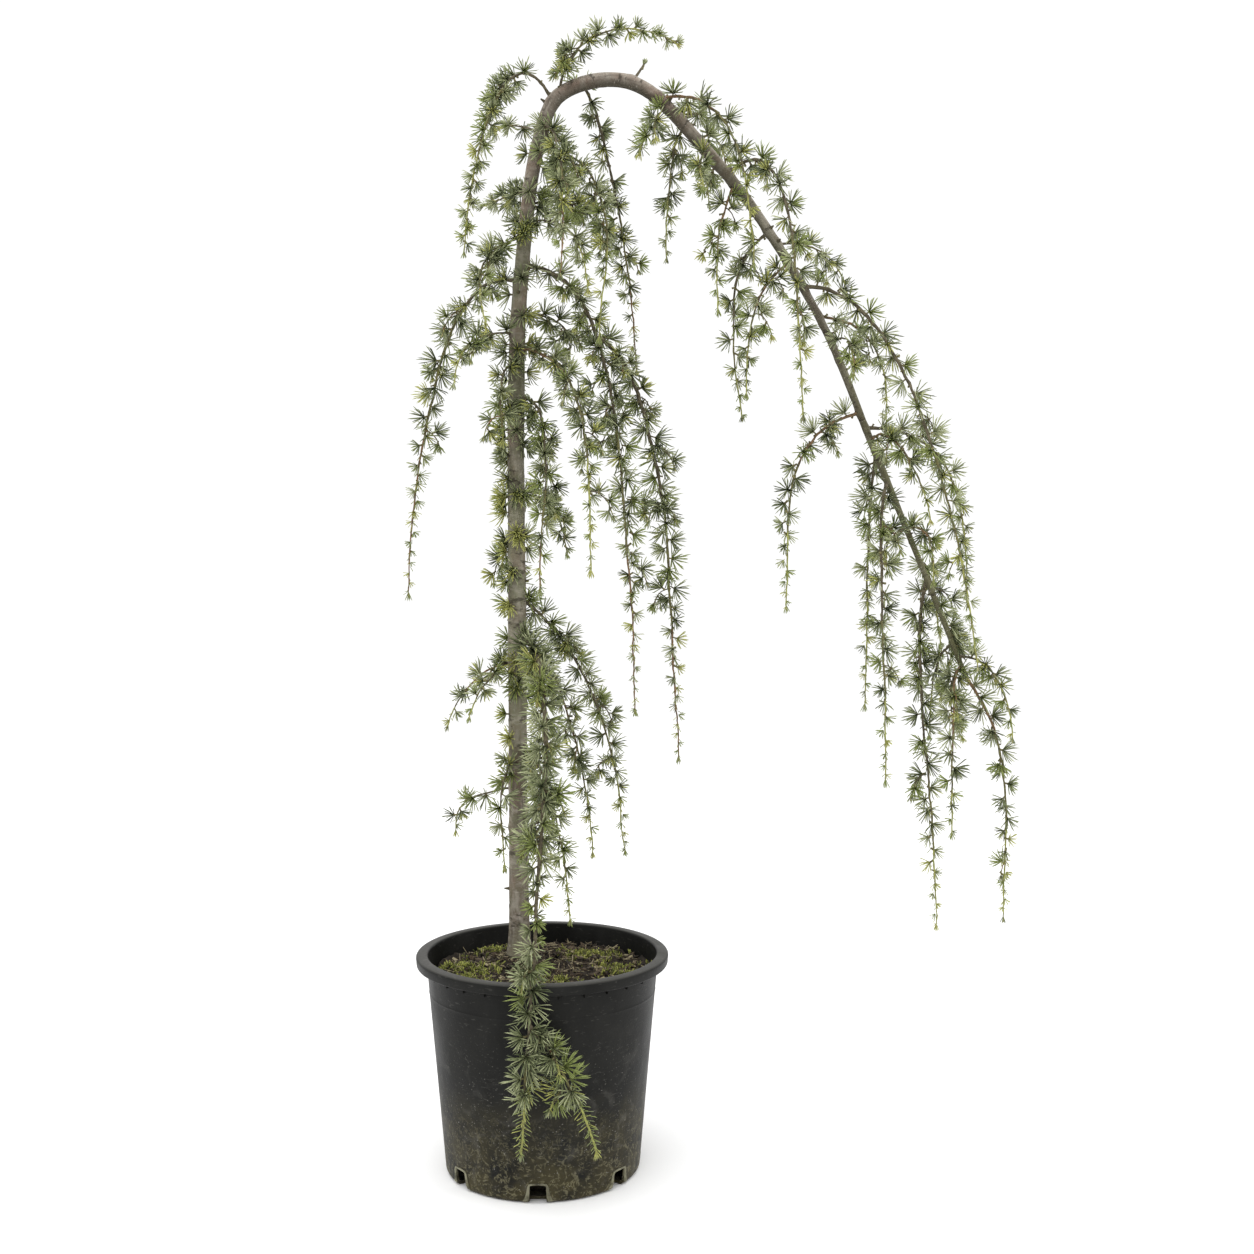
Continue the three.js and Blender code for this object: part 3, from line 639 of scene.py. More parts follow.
# (across, height, thickness) at the stations that the stem passes through.
STEM_STATIONS = [
    (-28, 229.3, 22), (-29, 632, 20), (-29, 854, 18.5), (-25, 963, 16.5), (-5, 1127, 15.2),
    (17, 1183, 15.6), (64, 1202, 15.8), (110, 1195, 15.4), (175, 1133, 13.8), (236, 1059, 10.8),
    (312, 934, 8.8), (365, 808, 7.6), (421, 674, 6.6), (474, 545, 5.4)]
STEM_DIVISIONS = 60
STEM_SIDES = 36
RING_PITCH = 2.6
ROOT_FLARE = 4.5
ROOT_FLARE_REACH = 22.0
STEM_NODES = ("trunk", "arch", "leader_upper", "leader_lower")
SHOOT_DEPTH_EARLY = 0.45
SCAR_RISE = 0.035
COLLAR_RISE, COLLAR_SPREAD, KNOT_REACH = 1.5, 5.5, 26.0

BARK_TAUPE = (0.235, 0.195, 0.162, 1.0)
BARK_PALE = (0.39, 0.355, 0.30, 1.0)
BARK_GREEN = (0.150, 0.150, 0.092, 1.0)
BARK_OLIVE = (0.105, 0.105, 0.044, 1.0)
BARK_ROSE = (0.215, 0.150, 0.115, 1.0)
BARK_BROWN = (0.150, 0.122, 0.090, 1.0)
BARK_DARK = (0.095, 0.078, 0.060, 1.0)
BARK_SHADED = (0.050, 0.044, 0.030, 1.0)
BARK_SCAR = (0.030, 0.024, 0.016, 1.0)

# Where on the stem a coat of colour lies: what is read, where the coat starts and where it is full.
BARK_FADES = {
    "upright": ("height", 1.185, 1.05), "low": ("height", 0.52, 0.25), "arch": ("height", 1.02, 1.15),
    "out_along": ("across", 0.13, 0.30), "young_end": ("across", 0.29, 0.41),
    # The fades read by facing place a painted highlight on bark that faces up and painted shade on bark that
    # faces down.
    "painted_top_highlight": ("facing", 0.15, 0.9), "turned": ("facing", 0.45, -0.35), "beneath": ("facing", 0.15, -0.75)}

# The coats over the first taupe, in order: (colour, share, its patches, its fades).
BARK_COATS = [
    (BARK_GREEN, 0.95, dict(grain=34.0, low=0.28, high=0.60), ["upright"]),
    (BARK_ROSE, 0.75, dict(grain=26.0, low=0.46, high=0.60, upright=0.7), []),
    (BARK_BROWN, 0.55, None, ["low"]),
    (BARK_PALE, 0.75, dict(grain=15.0, low=0.50, high=0.70, upright=2.2), []),
    (BARK_DARK, 0.85, None, ["out_along"]),
    (BARK_PALE, 0.6, dict(grain=9.0, low=0.50, high=0.64, upright=0.28), []),
    (BARK_DARK, 0.6, dict(grain=6.0, low=0.54, high=0.64, upright=0.25, detail=4.0), []),
    (BARK_GREEN, 0.55, dict(grain=60.0, low=0.44, high=0.58, upright=0.45), ["upright"]),
    # Painted highlight: bark that faces upward is lightened.
    (BARK_PALE, 0.45, None, ["painted_top_highlight"]),
    # Painted shade: the arch's bark that faces downward is darkened.
    (BARK_DARK, 0.5, None, ["turned", "arch"]),
    (BARK_OLIVE, 0.72, None, ["young_end"]),
    (BARK_SHADED, 0.82, None, ["beneath"]),
    (BARK_SCAR, 0.72, dict(grain=12.0, low=0.58, high=0.64, sideways=0.7, upright=1.6), []),
    (BARK_SCAR, 0.7, dict(grain=3.4, low=0.66, high=0.72, upright=1.4, detail=3.0), []),
    (BARK_PALE, 0.6, dict(grain=2.6, low=0.64, high=0.74, sideways=0.6, upright=1.6, detail=2.0), [])]


def lead_stem_line():
    """The stem's centre line through its stations, evened out so that it never kinks."""
    marks = np.array([(across, STEM_DEPTH, height) for across, height, _ in STEM_STATIONS])
    marks = np.vstack([2 * marks[0] - marks[1], marks, 2 * marks[-1] - marks[-2]])
    line = []
    for index in range(len(STEM_STATIONS) - 1):
        before, start, stop, beyond = marks[index:index + 4]
        gaps = [math.sqrt(np.linalg.norm(b - a))
                for a, b in ((before, start), (start, stop), (stop, beyond))]
        both, early, late = (stop - start) / gaps[1], gaps[0] + gaps[1], gaps[1] + gaps[2]
        leave = (start - before) / gaps[0] - (stop - before) / early + both
        arrive = both - (beyond - start) / late + (beyond - stop) / gaps[2]
        leave, arrive = leave * gaps[1], arrive * gaps[1]
        last = index == len(STEM_STATIONS) - 2
        share = (np.arange(STEM_DIVISIONS + last) / STEM_DIVISIONS)[:, None]
        line.append(start + leave * share + (3 * (stop - start) - 2 * leave - arrive) * share ** 2
                    + (2 * (start - stop) + leave + arrive) * share ** 3)
    return np.concatenate(line)


def running_length(line):
    return np.concatenate([[0.0], np.cumsum(np.linalg.norm(np.diff(line, axis=0), axis=1))])


stem_line = lead_stem_line()
stem_lengths = running_length(stem_line)
stem_length = stem_lengths[-1]
station_lengths = stem_lengths[::STEM_DIVISIONS]


def stem_point(along):
    along = np.clip(along, 0.0, stem_length)
    return np.stack([np.interp(along, stem_lengths, stem_line[:, axis]) for axis in range(3)], axis=-1)


def stem_radius(along):
    thick = np.interp(along, station_lengths, [thick for _, _, thick in STEM_STATIONS])
    return thick / 2 + ROOT_FLARE * np.exp(-along / ROOT_FLARE_REACH)


def make_bark(name):
    bark = start_finish(name, BARK_TAUPE, 0.85, specular=0.25)
    grain = add_node(bark, "ShaderNodeAttribute", attribute_name="bark_grain").outputs["Vector"]
    place = axes_of(bark, object_place(bark))
    read = {"height": place["Z"], "across": place["X"], "facing": facing_up(bark)}
    fades = {name: between(bark, read[what], *ends) for name, (what, *ends) in BARK_FADES.items()}
    body = BARK_TAUPE
    for colour, share, patches, lies in BARK_COATS:
        factors = [mottle(bark, grain, **patches)] if patches else []
        factors += [fades[fade] for fade in lies]
        body = lay_over(bark, body, colour, share, *factors)
    paint(bark, body)
    emboss(bark, mottle(bark, grain, 3.2, 0.25, 0.75, sideways=0.5, upright=1.6), 0.5)
    return bark


bark = make_bark("bark_grey_brown")

# Where each shoot starts along the stem, the way it leaves (out, lift), where it ends from its
# root (reach, drop) and how far its end lies behind (+) or in front (-). A second row is a fork:
# its first number is the share of the shoot's length at which it leaves.
CROWN_SHOOTS = [
    [(964, 10, 83, 128, -37, -60)], [(954, -46, 79, -92, 177, -70)], [(918, -34, 23, -61, -14, 62)]]
LEFT_SHOOTS = [
    [(849, -21, 17, -63, -11, 120)], [(805, -59, -32, -33, 117, -115)],
    [(754, -90, 31, -138, 349, 80)], [(698, -49, 0, -61, 66, -95)], [(664, -22, 0, -11, 100, -55)],
    [(474, -21, -15, -20, 59, 60)],
    [(332, -36, -1, -88, 83, 80), (0.12, -20, -10, -34, 52, -90)],
    [(226, -24, -14, -11, 115, -60)], [(191, -79, -14, -77, 62, 60)]]
RIGHT_SHOOTS = [
    [(982, 14, 53, 70, 299, 110)], [(925, 25, -7, 24, 180, -120)], [(903, 95, -27, 68, 217, -60)],
    [(838, 60, 28, 85, 1, 150)], [(820, 57, 2, 70, 87, -80)],
    [(772, 113, -4, 125, 491, -40), (0.235, 68, -22, 91, 474, 75)],
    [(722, 76, -5, 46, 60, 90)], [(681, 85, -3, 84, 245, -110)], [(625, 45, 17, 29, 211, -60)],
    [(516, 37, 15, 53, 65, 85)], [(408, 83, -56, 121, 312, 105)],
    [(352, 60, 36, 15, 510, -190), (0.77, 10, -8, 70, 134, -4)],
    [(340, 42, 17, 83, 237, 60)], [(234, 34, 4, 61, 176, -85)]]
LEADER_SHOOTS = [
    [(1048, 5, 10, 13, -22, 4)], [(1082, 84, 9, 99, 193, -80)], [(1096, -20, -14, -14, 46, -55)],
    [(1114, 31, 33, 41, -16, 115)], [(1126, -14, 12, -20, 131, 70)], [(1146, 21, 29, 35, 13, 80)],
    [(1158, -14, -24, -7, 57, -80)], [(1178, -16, -7, -5, 27, 90)],
    [(1192, 67, 52, 74, 275, -110)], [(1206, -28, -61, -21, 147, -60)],
    [(1270, -56, -39, -23, 200, 75)], [(1286, 62, 12, 91, 48, 85)],
    [(1311, -48, -35, -51, 151, -70)], [(1342, 86, 12, 177, 415, -100)],
    [(1378, 84, -5, 90, 116, 85)], [(1409, 22, 7, 15, 42, -60)], [(1494, -97, -23, -86, 215, -60)],
    [(1512, 124, 6, 139, 203, 110)], [(1527, 16, 20, 52, 91, -85)], [(1542, 4, 23, 4, 293, 90)],
    [(1577, -16, -10, -12, 324, -80)],
    [(1632, -19, -12, -14, 40, 55), (0.1, 26, 14, 22, 56, -75)],
    [(1676, 16, 12, 45, 110, 100)], [(1696, -19, -29, 25, 406, 55)],
    [(1772, -12, -9, -6, 118, 100)], [(1788, 35, 5, 47, 85, -65)],
    [(1800, -24, 3, -24, 176, -75), (0.08, -8, -48, 20, 84, 60)],
    [(1812, 64, -81, 58, 288, 50)]]
ALL_SHOOTS = CROWN_SHOOTS + LEFT_SHOOTS + RIGHT_SHOOTS + LEADER_SHOOTS

stem_random = np.random.default_rng(7)
ring_count = int(round(stem_length / RING_PITCH)) + 1
ring_along = np.linspace(0.0, stem_length, ring_count)
ring_centres = stem_point(ring_along)
ring_ahead = unit(stem_point(ring_along + 1.5) - stem_point(ring_along - 1.5))
ring_ahead[0] = (0.0, 0.0, 1.0)
ring_side = np.broadcast_to([0.0, 1.0, 0.0], (ring_count, 3))
ring_front = unit(np.cross(ring_side, ring_ahead))
ring_spokes = spokes_round(ring_front, ring_side, STEM_SIDES)
stem_turns = np.arange(STEM_SIDES) * math.tau / STEM_SIDES
skin = np.broadcast_to(stem_radius(ring_along)[:, None], (ring_count, STEM_SIDES)).copy()

# Buttresses at the soil, slight hollows along the stem, and the ring scars of each year's growth.
skin += 0.9 * np.exp(-ring_along / 26.0)[:, None] * np.sin(3 * stem_turns + 0.6)
skin *= 1.0 + 0.02 * np.sin(2 * stem_turns[None] + ring_along[:, None] / 47.0)
skin *= 1.0 + 0.018 * ripple(ring_along[:, None] * np.ones(STEM_SIDES), 30 * stem_turns, (90.0, 37.0), 9)
scar_along = np.cumsum(stem_random.uniform(9.0, 34.0, 80))
for along in scar_along[scar_along < stem_length - 20]:
    turn, reach = stem_random.uniform(0, math.tau), stem_random.uniform(0.5, 1.0)
    part_way = np.clip(0.55 + 0.45 * np.cos(stem_turns - turn) / reach, 0.0, 1.0)
    raised = np.exp(-((ring_along - along) / 1.7) ** 2)
    sunk = np.exp(-((ring_along - along - 3.6) / 1.9) ** 2)
    skin += SCAR_RISE * stem_radius(along) * (raised - 0.5 * sunk)[:, None] * part_way

# A collar swells out of the bark where each shoot leaves, and small knots mark lost ones.
knots = []
for along, out, lift, _, _, depth in (shoot[0] for shoot in ALL_SHOOTS):
    away = unit(np.array([out, SHOOT_DEPTH_EARLY * depth, lift]))
    knots.append((along, away, COLLAR_RISE, COLLAR_SPREAD))
for along in np.cumsum(stem_random.uniform(16.0, 52.0, 60)):
    if along < stem_length - 10:
        away = unit(stem_random.normal(0, 1, 3))
        knots.append((along, away, stem_random.uniform(0.5, 1.5), stem_random.uniform(2.2, 4.5)))
for along, away, rise, spread in knots:
    near = np.abs(ring_along - along) < KNOT_REACH
    radius = stem_radius(along)
    small = min(1.0, radius / 6.0)
    flat = away - ring_ahead[near][0] * (away @ ring_ahead[near][0])
    skin_places = ring_centres[near][:, None] + ring_spokes[near] * radius
    distance = np.linalg.norm(skin_places - (stem_point(along) + unit(flat) * radius), axis=2)
    skin[near] += rise * small * np.exp(-(distance / (spread * min(1.0, radius / 6.0 + 0.2))) ** 2)

stem_points = ring_centres[:, None] + ring_spokes * skin[..., None]
stem_quads, stem_ends = tube_faces(ring_count, STEM_SIDES)
stem_faces = [(stem_quads, 0), (stem_ends, 0)]
leading_stem = make_piece("leading_stem", stem_points.reshape(-1, 3), stem_faces, [bark])
skin_along = np.broadcast_to(ring_along[:, None], skin.shape)
grain = np.stack([skin * np.cos(stem_turns), skin * np.sin(stem_turns), skin_along], axis=2)
bark_grain = leading_stem.data.attributes.new("bark_grain", "FLOAT_VECTOR", "POINT")
bark_grain.data.foreach_set("vector", grain.ravel() * 0.001)
fix_to_plant(leading_stem, "bark", *STEM_NODES)


# ---------------------------------------------------------------- 4. Boughs and twigs
# Each shoot leaves the stem, arches out and hangs; the oldest are brown and as thick as a pencil,
# the growing ends are thin, green and soft. Side twigs leave them at chance angles and fall.
# A shoot's line and its side twigs follow fixed rules, so that every tree grows the same way.

SHOOT_DEPTH_LATE = 0.95
SHOOT_ACROSS, SHOOT_DOWN = 0.75, 0.5
TWIG_TIP_RADIUS = 1.0
TWIG_SWELL = 0.0031
WHORL_SPACING = 33.0
BARE_AT_ROOT, BARE_AT_FORK, BARE_ON_SIDE, BARE_AT_TIP = 14.0, 6.0, 8.0, 3.0
SIDE_FROM, SIDE_EVERY, SIDE_UNTIL, SIDE_LONGEST, SIDE_SHORTEST = 45.0, 160.0, 0.72, 44.0, 26.0
SIDE_SHOULDER, SIDE_REACH, SIDE_FALL = 0.5, 0.7, 0.75
FINE_FROM, FINE_UNTIL, FINE_NEAREST, FINE_SPARSE = 26.0, 0.62, 30.0, 110.0
FINE_SPREADING, FINE_EVEN_WITHIN, BARE_ON_FINE = 0.60, 80.0, 5.0
LEAN_SHOOTS = [2, 9, 10, 11]
BARE_ROOTS = {0: 6.0, 1: 34.0, 2: 18.0, 11: 24.0}
FINE_LONGEST, FINE_SHORTEST = 36.0, 16.0
PROBE_STEP, SHOOT_GAP, STEM_GAP, POT_GAP = 6.0, 0.9, 1.2, 1.5
CURVE_DIVISIONS = 200
GROWTH_SEED, FINE_SEED, TWIG_SEED = 20, 520, 40
TWIG_SIDES = 7
TWIG_STEP, TWIG_WANDER, TWIG_UNEVEN = 4.0, 0.30, 0.10
MAIN_TIP, SIDE_TIP = 0.75, 0.62
STUB_LENGTH, STUB_RADIUS, STUB_NARROWS = 30.0, 1.9, 0.8
FOOT_SWELL, FOOT_REACH, FOOT_SWELL_FROM = 1.2, 9.0, 90.0
LUSH_THICKER = 0.35
SOFT_SHARE, SOFT_VARIES, SOFT_LONGEST, SOFT_ON_SIDE = 0.44, 0.12, 260.0, 0.35
OLD_CHANCE, OLD_LONGEST = 0.3, 330.0

TWIG_BARK = (0.062, 0.052, 0.032, 1.0)
TWIG_BARK_PALE = (0.15, 0.128, 0.082, 1.0)
TWIG_RUSSET = (0.21, 0.125, 0.062, 1.0)
TWIG_OLIVE = (0.160, 0.150, 0.055, 1.0)
TWIG_FRESH = (0.30, 0.315, 0.085, 1.0)


def chance_from(seed):
    """An endless run of numbers from 0 to 1 that is always the same for one seed."""
    keep = 0xFFFFFFFF
    state = seed & keep
    while True:
        state = (state + 0x6D2B79F5) & keep
        mixed = ((state ^ (state >> 15)) * (state | 1)) & keep
        mixed = ((mixed + ((mixed ^ (mixed >> 7)) * (mixed | 61))) & keep) ^ mixed
        yield ((mixed ^ (mixed >> 14)) & keep) / 4294967296


class ShootLine:
    """A bent line through three or four guide points, read by length along it."""

    def __init__(self, guides):
        self.guides = np.array(guides, dtype=float)
        self.shares = np.linspace(0.0, 1.0, CURVE_DIVISIONS + 1)
        self.lengths = running_length(self.bend(self.shares))
        self.length = self.lengths[-1]

    def bend(self, share):
        share = np.asarray(share, dtype=float)[..., None]
        left = 1.0 - share
        if len(self.guides) == 3:
            a, b, c = self.guides
            return left ** 2 * a + 2 * left * share * b + share ** 2 * c
        a, b, c, d = self.guides
        return left ** 3 * a + 3 * left ** 2 * share * b + 3 * left * share ** 2 * c + share ** 3 * d

    def point(self, along):
        return self.bend(np.interp(along, self.lengths, self.shares))

    def ahead(self, along):
        share = np.interp(along, self.lengths, self.shares)
        return unit(self.bend(np.minimum(share + 1e-4, 1.0)) - self.bend(np.maximum(share - 1e-4, 0.0)))


def shoot_line(root, out, lift, reach, drop, depth):
    return ShootLine([
        root,
        root + (out, depth * SHOOT_DEPTH_EARLY, lift),
        root + (out + (reach - out) * SHOOT_ACROSS, depth * SHOOT_DEPTH_LATE,
                lift + (-drop - lift) * SHOOT_DOWN),
        root + (reach, depth, -drop)])


def side_line(line, station, chance, shortest, longest):
    root = line.point(station)
    turn = next(chance) * math.tau
    size = shortest + (longest - shortest) * next(chance)
    away = np.array([math.cos(turn), math.sin(turn), 0.0])
    end = root + away * size * SIDE_REACH - (0.0, 0.0, size * SIDE_FALL)
    return ShootLine([root, root + away * size * SIDE_SHOULDER, end])


main_lines = []
for shoot in ALL_SHOOTS:
    lines = [shoot_line(stem_point(shoot[0][0]), *shoot[0][1:])]
    if len(shoot) > 1:
        fork_root = lines[0].point(shoot[1][0] * lines[0].length)
        lines.append(shoot_line(fork_root, *shoot[1][1:]))
    main_lines.append(lines)

probe_points, probe_owners = [], []
for owner, lines in enumerate(main_lines):
    for line in lines:
        stops = np.linspace(0.0, line.length, math.ceil(line.length / PROBE_STEP) + 1)
        probe_points.append(line.point(stops))
        probe_owners.append(np.full(len(stops), owner))
probe_points, probe_owners = np.concatenate(probe_points), np.concatenate(probe_owners)
stem_stops = np.minimum(np.arange(math.ceil(stem_length / PROBE_STEP) + 1) * PROBE_STEP, stem_length)
stem_probes, stem_probe_radii = stem_point(stem_stops), stem_radius(stem_stops)


def is_free(point, owner):
    """A place is a shoot's own if it lies nearer to that shoot than to any other."""
    apart = np.linalg.norm(probe_points - point, axis=1)
    own = apart[probe_owners == owner].min()
    if apart[probe_owners != owner].min() <= own + SHOOT_GAP:
        return False
    if np.any(np.linalg.norm(stem_probes - point, axis=1) <= stem_probe_radii + STEM_GAP):
        return False
    return clear_of_pot(point[None])[0]


def clear_of_pot(points):
    radius = np.hypot(points[:, 0], points[:, 1])
    outside = (radius > RIM_RADIUS + POT_GAP) | (points[:, 2] > POT_HEIGHT + POT_GAP)
    return outside | ((points[:, 2] > MOUND_TOP + POT_GAP) & (radius < FOOT_RADIUS))


FIRST_RIGHT = len(CROWN_SHOOTS) + len(LEFT_SHOOTS)
LUSH_SHOOT = FIRST_RIGHT + 11
YOUNG_SHOOTS = [0, 1]
RUSSET_SHOOTS = [5, FIRST_RIGHT, FIRST_RIGHT + 1, FIRST_RIGHT + 5, FIRST_RIGHT + 8, FIRST_RIGHT + 19]
THIN_UNTIL = {FIRST_RIGHT: 125.0}
LUSH_GAP = (294.0, 374.0)

# How much of each shoot is this year's growth: a length for some, a share for others.
SOFT_LENGTHS = {0: 100.0, 1: 150.0, 2: 20.0, 3: 50.0, 9: 40.0, 11: 36.0,
                FIRST_RIGHT + 9: 18.0, LUSH_SHOOT: 72.0}
SOFT_SHARES = {5: 0.64, **{FIRST_RIGHT + index: 0.36 for index in (10, 12, 13)}}


def in_lush_gap(owner, station):
    """The lush shoot is nearly bare for a stretch just above the pot, beside the stem's foot."""
    return owner == LUSH_SHOOT and LUSH_GAP[0] < station < LUSH_GAP[1]


def pass_whorls(chance, line, bare):
    """Draws and drops the numbers of a line's whorls: one for the line, six for each whorl."""
    whorls = max(1, math.floor((line.length - bare) / WHORL_SPACING + 0.5))
    for _ in range(1 + 6 * whorls):
        next(chance)


def grows_free(side, owner, shares):
    return all(is_free(side.point(share * side.length), owner) for share in shares)


# Every line of every shoot: (owner, line, bare length at its foot, rank); rank 0 is the shoot
# itself, 1 a side twig, 2 a finer one.
growth = []
for owner, lines in enumerate(main_lines):
    chance, fine_chance = chance_from(GROWTH_SEED + owner), chance_from(FINE_SEED + owner)
    lean = owner in LEAN_SHOOTS
    on_right = FIRST_RIGHT <= owner < FIRST_RIGHT + len(RIGHT_SHOOTS)
    closest = FINE_NEAREST if on_right else FINE_SPARSE
    for index, line in enumerate(lines):
        bare = BARE_AT_FORK if index else min(BARE_AT_ROOT, line.length * 0.4)
        growth.append((owner, line, bare, 0))
        pass_whorls(chance, line, bare)
        station = SIDE_FROM
        while station < line.length * SIDE_UNTIL:
            start = station + next(chance) * SIDE_FROM
            side = side_line(line, start, chance, SIDE_SHORTEST, SIDE_LONGEST)
            if grows_free(side, owner, (0.4, 0.7, 1.0)):
                if not lean and not in_lush_gap(owner, start):
                    growth.append((owner, side, BARE_ON_SIDE, 1))
                pass_whorls(chance, side, BARE_ON_SIDE)
            station += SIDE_EVERY
        station = FINE_FROM + max(BARE_ROOTS.get(owner, 0.0), THIN_UNTIL.get(owner, 0.0))
        while station < line.length * FINE_UNTIL - FINE_SHORTEST and not lean:
            start = station + next(fine_chance) * FINE_NEAREST * 0.6
            fine = side_line(line, start, fine_chance, FINE_SHORTEST, FINE_LONGEST)
            if grows_free(fine, owner, (0.5, 1.0)) and not in_lush_gap(owner, start):
                growth.append((owner, fine, BARE_ON_FINE, 2))
            from_trunk = abs(line.point(station)[0] - TRUNK_ACROSS)
            station += closest + FINE_SPREADING * max(0.0, from_trunk - FINE_EVEN_WITHIN)


def make_twig_finish(name, dark, light, roughness=0.75):
    finish = start_finish(name, dark, roughness, specular=0.3)
    place = object_place(finish)
    paint(finish, blend_colour(finish, mottle(finish, place, 5.0, 0.4, 0.66), dark, light))
    emboss(finish, mottle(finish, place, 1.6, 0.3, 0.7), 0.25)
    return finish


bough_bark = make_twig_finish("bough_bark", TWIG_BARK, TWIG_BARK_PALE, 0.85)
russet_bark = make_twig_finish("twig_russet", TWIG_RUSSET, TWIG_BARK, 0.8)
olive_bark = make_twig_finish("twig_olive", TWIG_OLIVE, TWIG_BARK, 0.7)
fresh_stem = make_twig_finish("twig_fresh_green", TWIG_FRESH, TWIG_OLIVE, 0.6)
TWIG_FINISHES = [bough_bark, russet_bark, olive_bark, fresh_stem]
BROWN, RUSSET, OLIVE, GREEN = range(4)


def frames_along(line, stops):
    """Centres, headings and two cross directions that never twist sharply."""
    centres, ahead = line.point(stops), line.ahead(stops)
    across = np.array([0.0, 1.0, 0.0])
    acrosses = []
    for heading in ahead:
        if abs(across @ heading) > 0.9:
            across = np.array([1.0, 0.0, 0.0])
        across = unit(across - heading * (across @ heading))
        acrosses.append(across)
    acrosses = np.array(acrosses)
    return centres, ahead, acrosses, np.cross(ahead, acrosses)


def soft_end(line, rank, owner):
    """How much of a shoot's end is this year's soft green growth."""
    if owner in SOFT_LENGTHS:
        return min(SOFT_LENGTHS[owner], 0.55 * line.length)
    share = SOFT_SHARES.get(owner, SOFT_SHARE + SOFT_VARIES * math.sin(owner * 2.4))
    return min(SOFT_LONGEST, share * line.length) if rank == 0 else SOFT_ON_SIDE * line.length


def grow_twig(owner, line, rank, chance):
    """One twig's skin, its kinds of bark by age, and how many rings it has."""
    stub = line.length < STUB_LENGTH
    stops = np.linspace(0.0, line.length, max(4, math.ceil(line.length / TWIG_STEP)))
    centres, _, across, beside = frames_along(line, stops)
    wander = np.cumsum(chance.normal(0, TWIG_WANDER, (len(stops), 2)), axis=0)
    wander -= np.linspace(0, 1, len(stops))[:, None] * wander[-1]
    centres = centres + across * wander[:, :1] + beside * wander[:, 1:]
    thick = TWIG_TIP_RADIUS * (SIDE_TIP if rank else MAIN_TIP) + TWIG_SWELL * (line.length - stops)
    thick *= 1.0 + TWIG_UNEVEN * chance.normal(0, 1, len(stops)).clip(-1.5, 1.8)
    thick[-1] *= 0.5
    if rank == 0 and line.length > FOOT_SWELL_FROM:
        thick += FOOT_SWELL * np.exp(-stops / FOOT_REACH)
    if owner == LUSH_SHOOT:
        thick += LUSH_THICKER
    if rank == 0 and stub:
        thick = STUB_RADIUS - STUB_NARROWS * stops / line.length
    points = centres[:, None] + spokes_round(across, beside, TWIG_SIDES) * thick[:, None, None]
    soft = soft_end(line, rank, owner)
    left = line.length - 0.5 * (stops[1:] + stops[:-1])
    old = RUSSET if chance.uniform() < OLD_CHANCE and line.length < OLD_LONGEST else BROWN
    growing = RUSSET if owner in RUSSET_SHOOTS else GREEN
    kinds = np.where(left < soft * 0.7, growing, np.where(left < soft * 1.3, OLIVE, old))
    kinds = np.full_like(kinds, BROWN) if stub else kinds
    return points.reshape(-1, 3), np.repeat(kinds, TWIG_SIDES), len(stops)


SHOOT_GROUPS = [("crown", len(CROWN_SHOOTS)), ("left", len(LEFT_SHOOTS)),
                ("right", len(RIGHT_SHOOTS)), ("leader", len(LEADER_SHOOTS))]
group_nodes, group_of_owner = {}, []
for group, count in SHOOT_GROUPS:
    group_nodes[group] = [f"{group}_spray_{index + 1:02d}" for index in range(count)]
    group_of_owner += [group] * count

for group, _ in SHOOT_GROUPS:
    twig_random = np.random.default_rng(TWIG_SEED + len(group))
    points, quads, quad_kinds, caps, cap_kinds, count = [], [], [], [], [], 0
    for owner, line, bare, rank in growth:
        if group_of_owner[owner] != group:
            continue
        twig_points, kinds, rings = grow_twig(owner, line, rank, twig_random)
        tube, ends = tube_faces(rings, TWIG_SIDES)
        points.append(twig_points)
        quads.append(tube + count)
        quad_kinds.append(kinds)
        caps.append(ends + count)
        cap_kinds.append(np.repeat([kinds[0], kinds[-1]], len(ends) // 2))
        count += len(twig_points)
    twigs = make_piece(
        f"twigs_{group}", np.concatenate(points),
        [(np.concatenate(quads), np.concatenate(quad_kinds)),
         (np.concatenate(caps), np.concatenate(cap_kinds))], TWIG_FINISHES)
    fix_to_plant(twigs, "bark", *group_nodes[group])


# ---------------------------------------------------------------- 5. Spurs and buds
# A short woody peg stands where each rosette of needles grows, all round the twigs and here and
# there straight from the stem. Old pegs that have lost their needles stay on the thick boughs,
# and every shoot ends in a small pale bud.

ROSETTE_PITCH = {"crown": 11.0, "left": 12.4, "right": 11.3, "leader": 14.9}
TUFT_PITCH, LUSH_PITCH, LEAN_PITCH, THIN_PITCH = 11.0, 0.72, 1.35, 1.7
ROSETTE_SIZE, OLD_WOOD_MORE, OLD_WOOD_FROM, FRESH_LESS = 0.84, 0.2, 280.0, 0.1
LUSH_SIZE, THIN_SIZE, GAP_SIZE = 1.1, 0.75, 0.58
LUSH_YOUNG, FRESH_YOUNG, END_YOUNG = 0.25, 1.8, 0.85
LEAN_RIPE, LEAN_YOUNG, LEAN_VARIES = 22, 26, 10
STUB_TUFT = dict(ripe=0.55, spread=0.5, size=0.55)
MAIN_PLUME = dict(ripe=0.22, spread=0.55, size=0.95)
SIDE_PLUME = dict(ripe=0.22, spread=0.75, size=0.95)
SPUR_LENGTH, SPUR_THICK = 3.6, 2.5
PEG_LENGTH, PEG_THICK = 5.5, 3.6
BUD_LENGTH, BUD_THICK = 5.0, 2.1
BARE_SPUR_PITCH, BARE_SPURS_FROM = 17.0, 150.0
SPUR_OUTLINE = [(-0.35, 0.9), (0.55, 0.8), (1.0, 1.05)]
PEG_OUTLINE = [(-0.3, 1.5), (0.35, 0.85), (1.0, 0.4)]
BUD_OUTLINE = [(-0.2, 0.6), (0.25, 1.0), (0.7, 0.7), (1.0, 0.12)]
SPUR_SIDES = 5
GOLDEN_TURN = math.pi * (3.0 - math.sqrt(5.0))
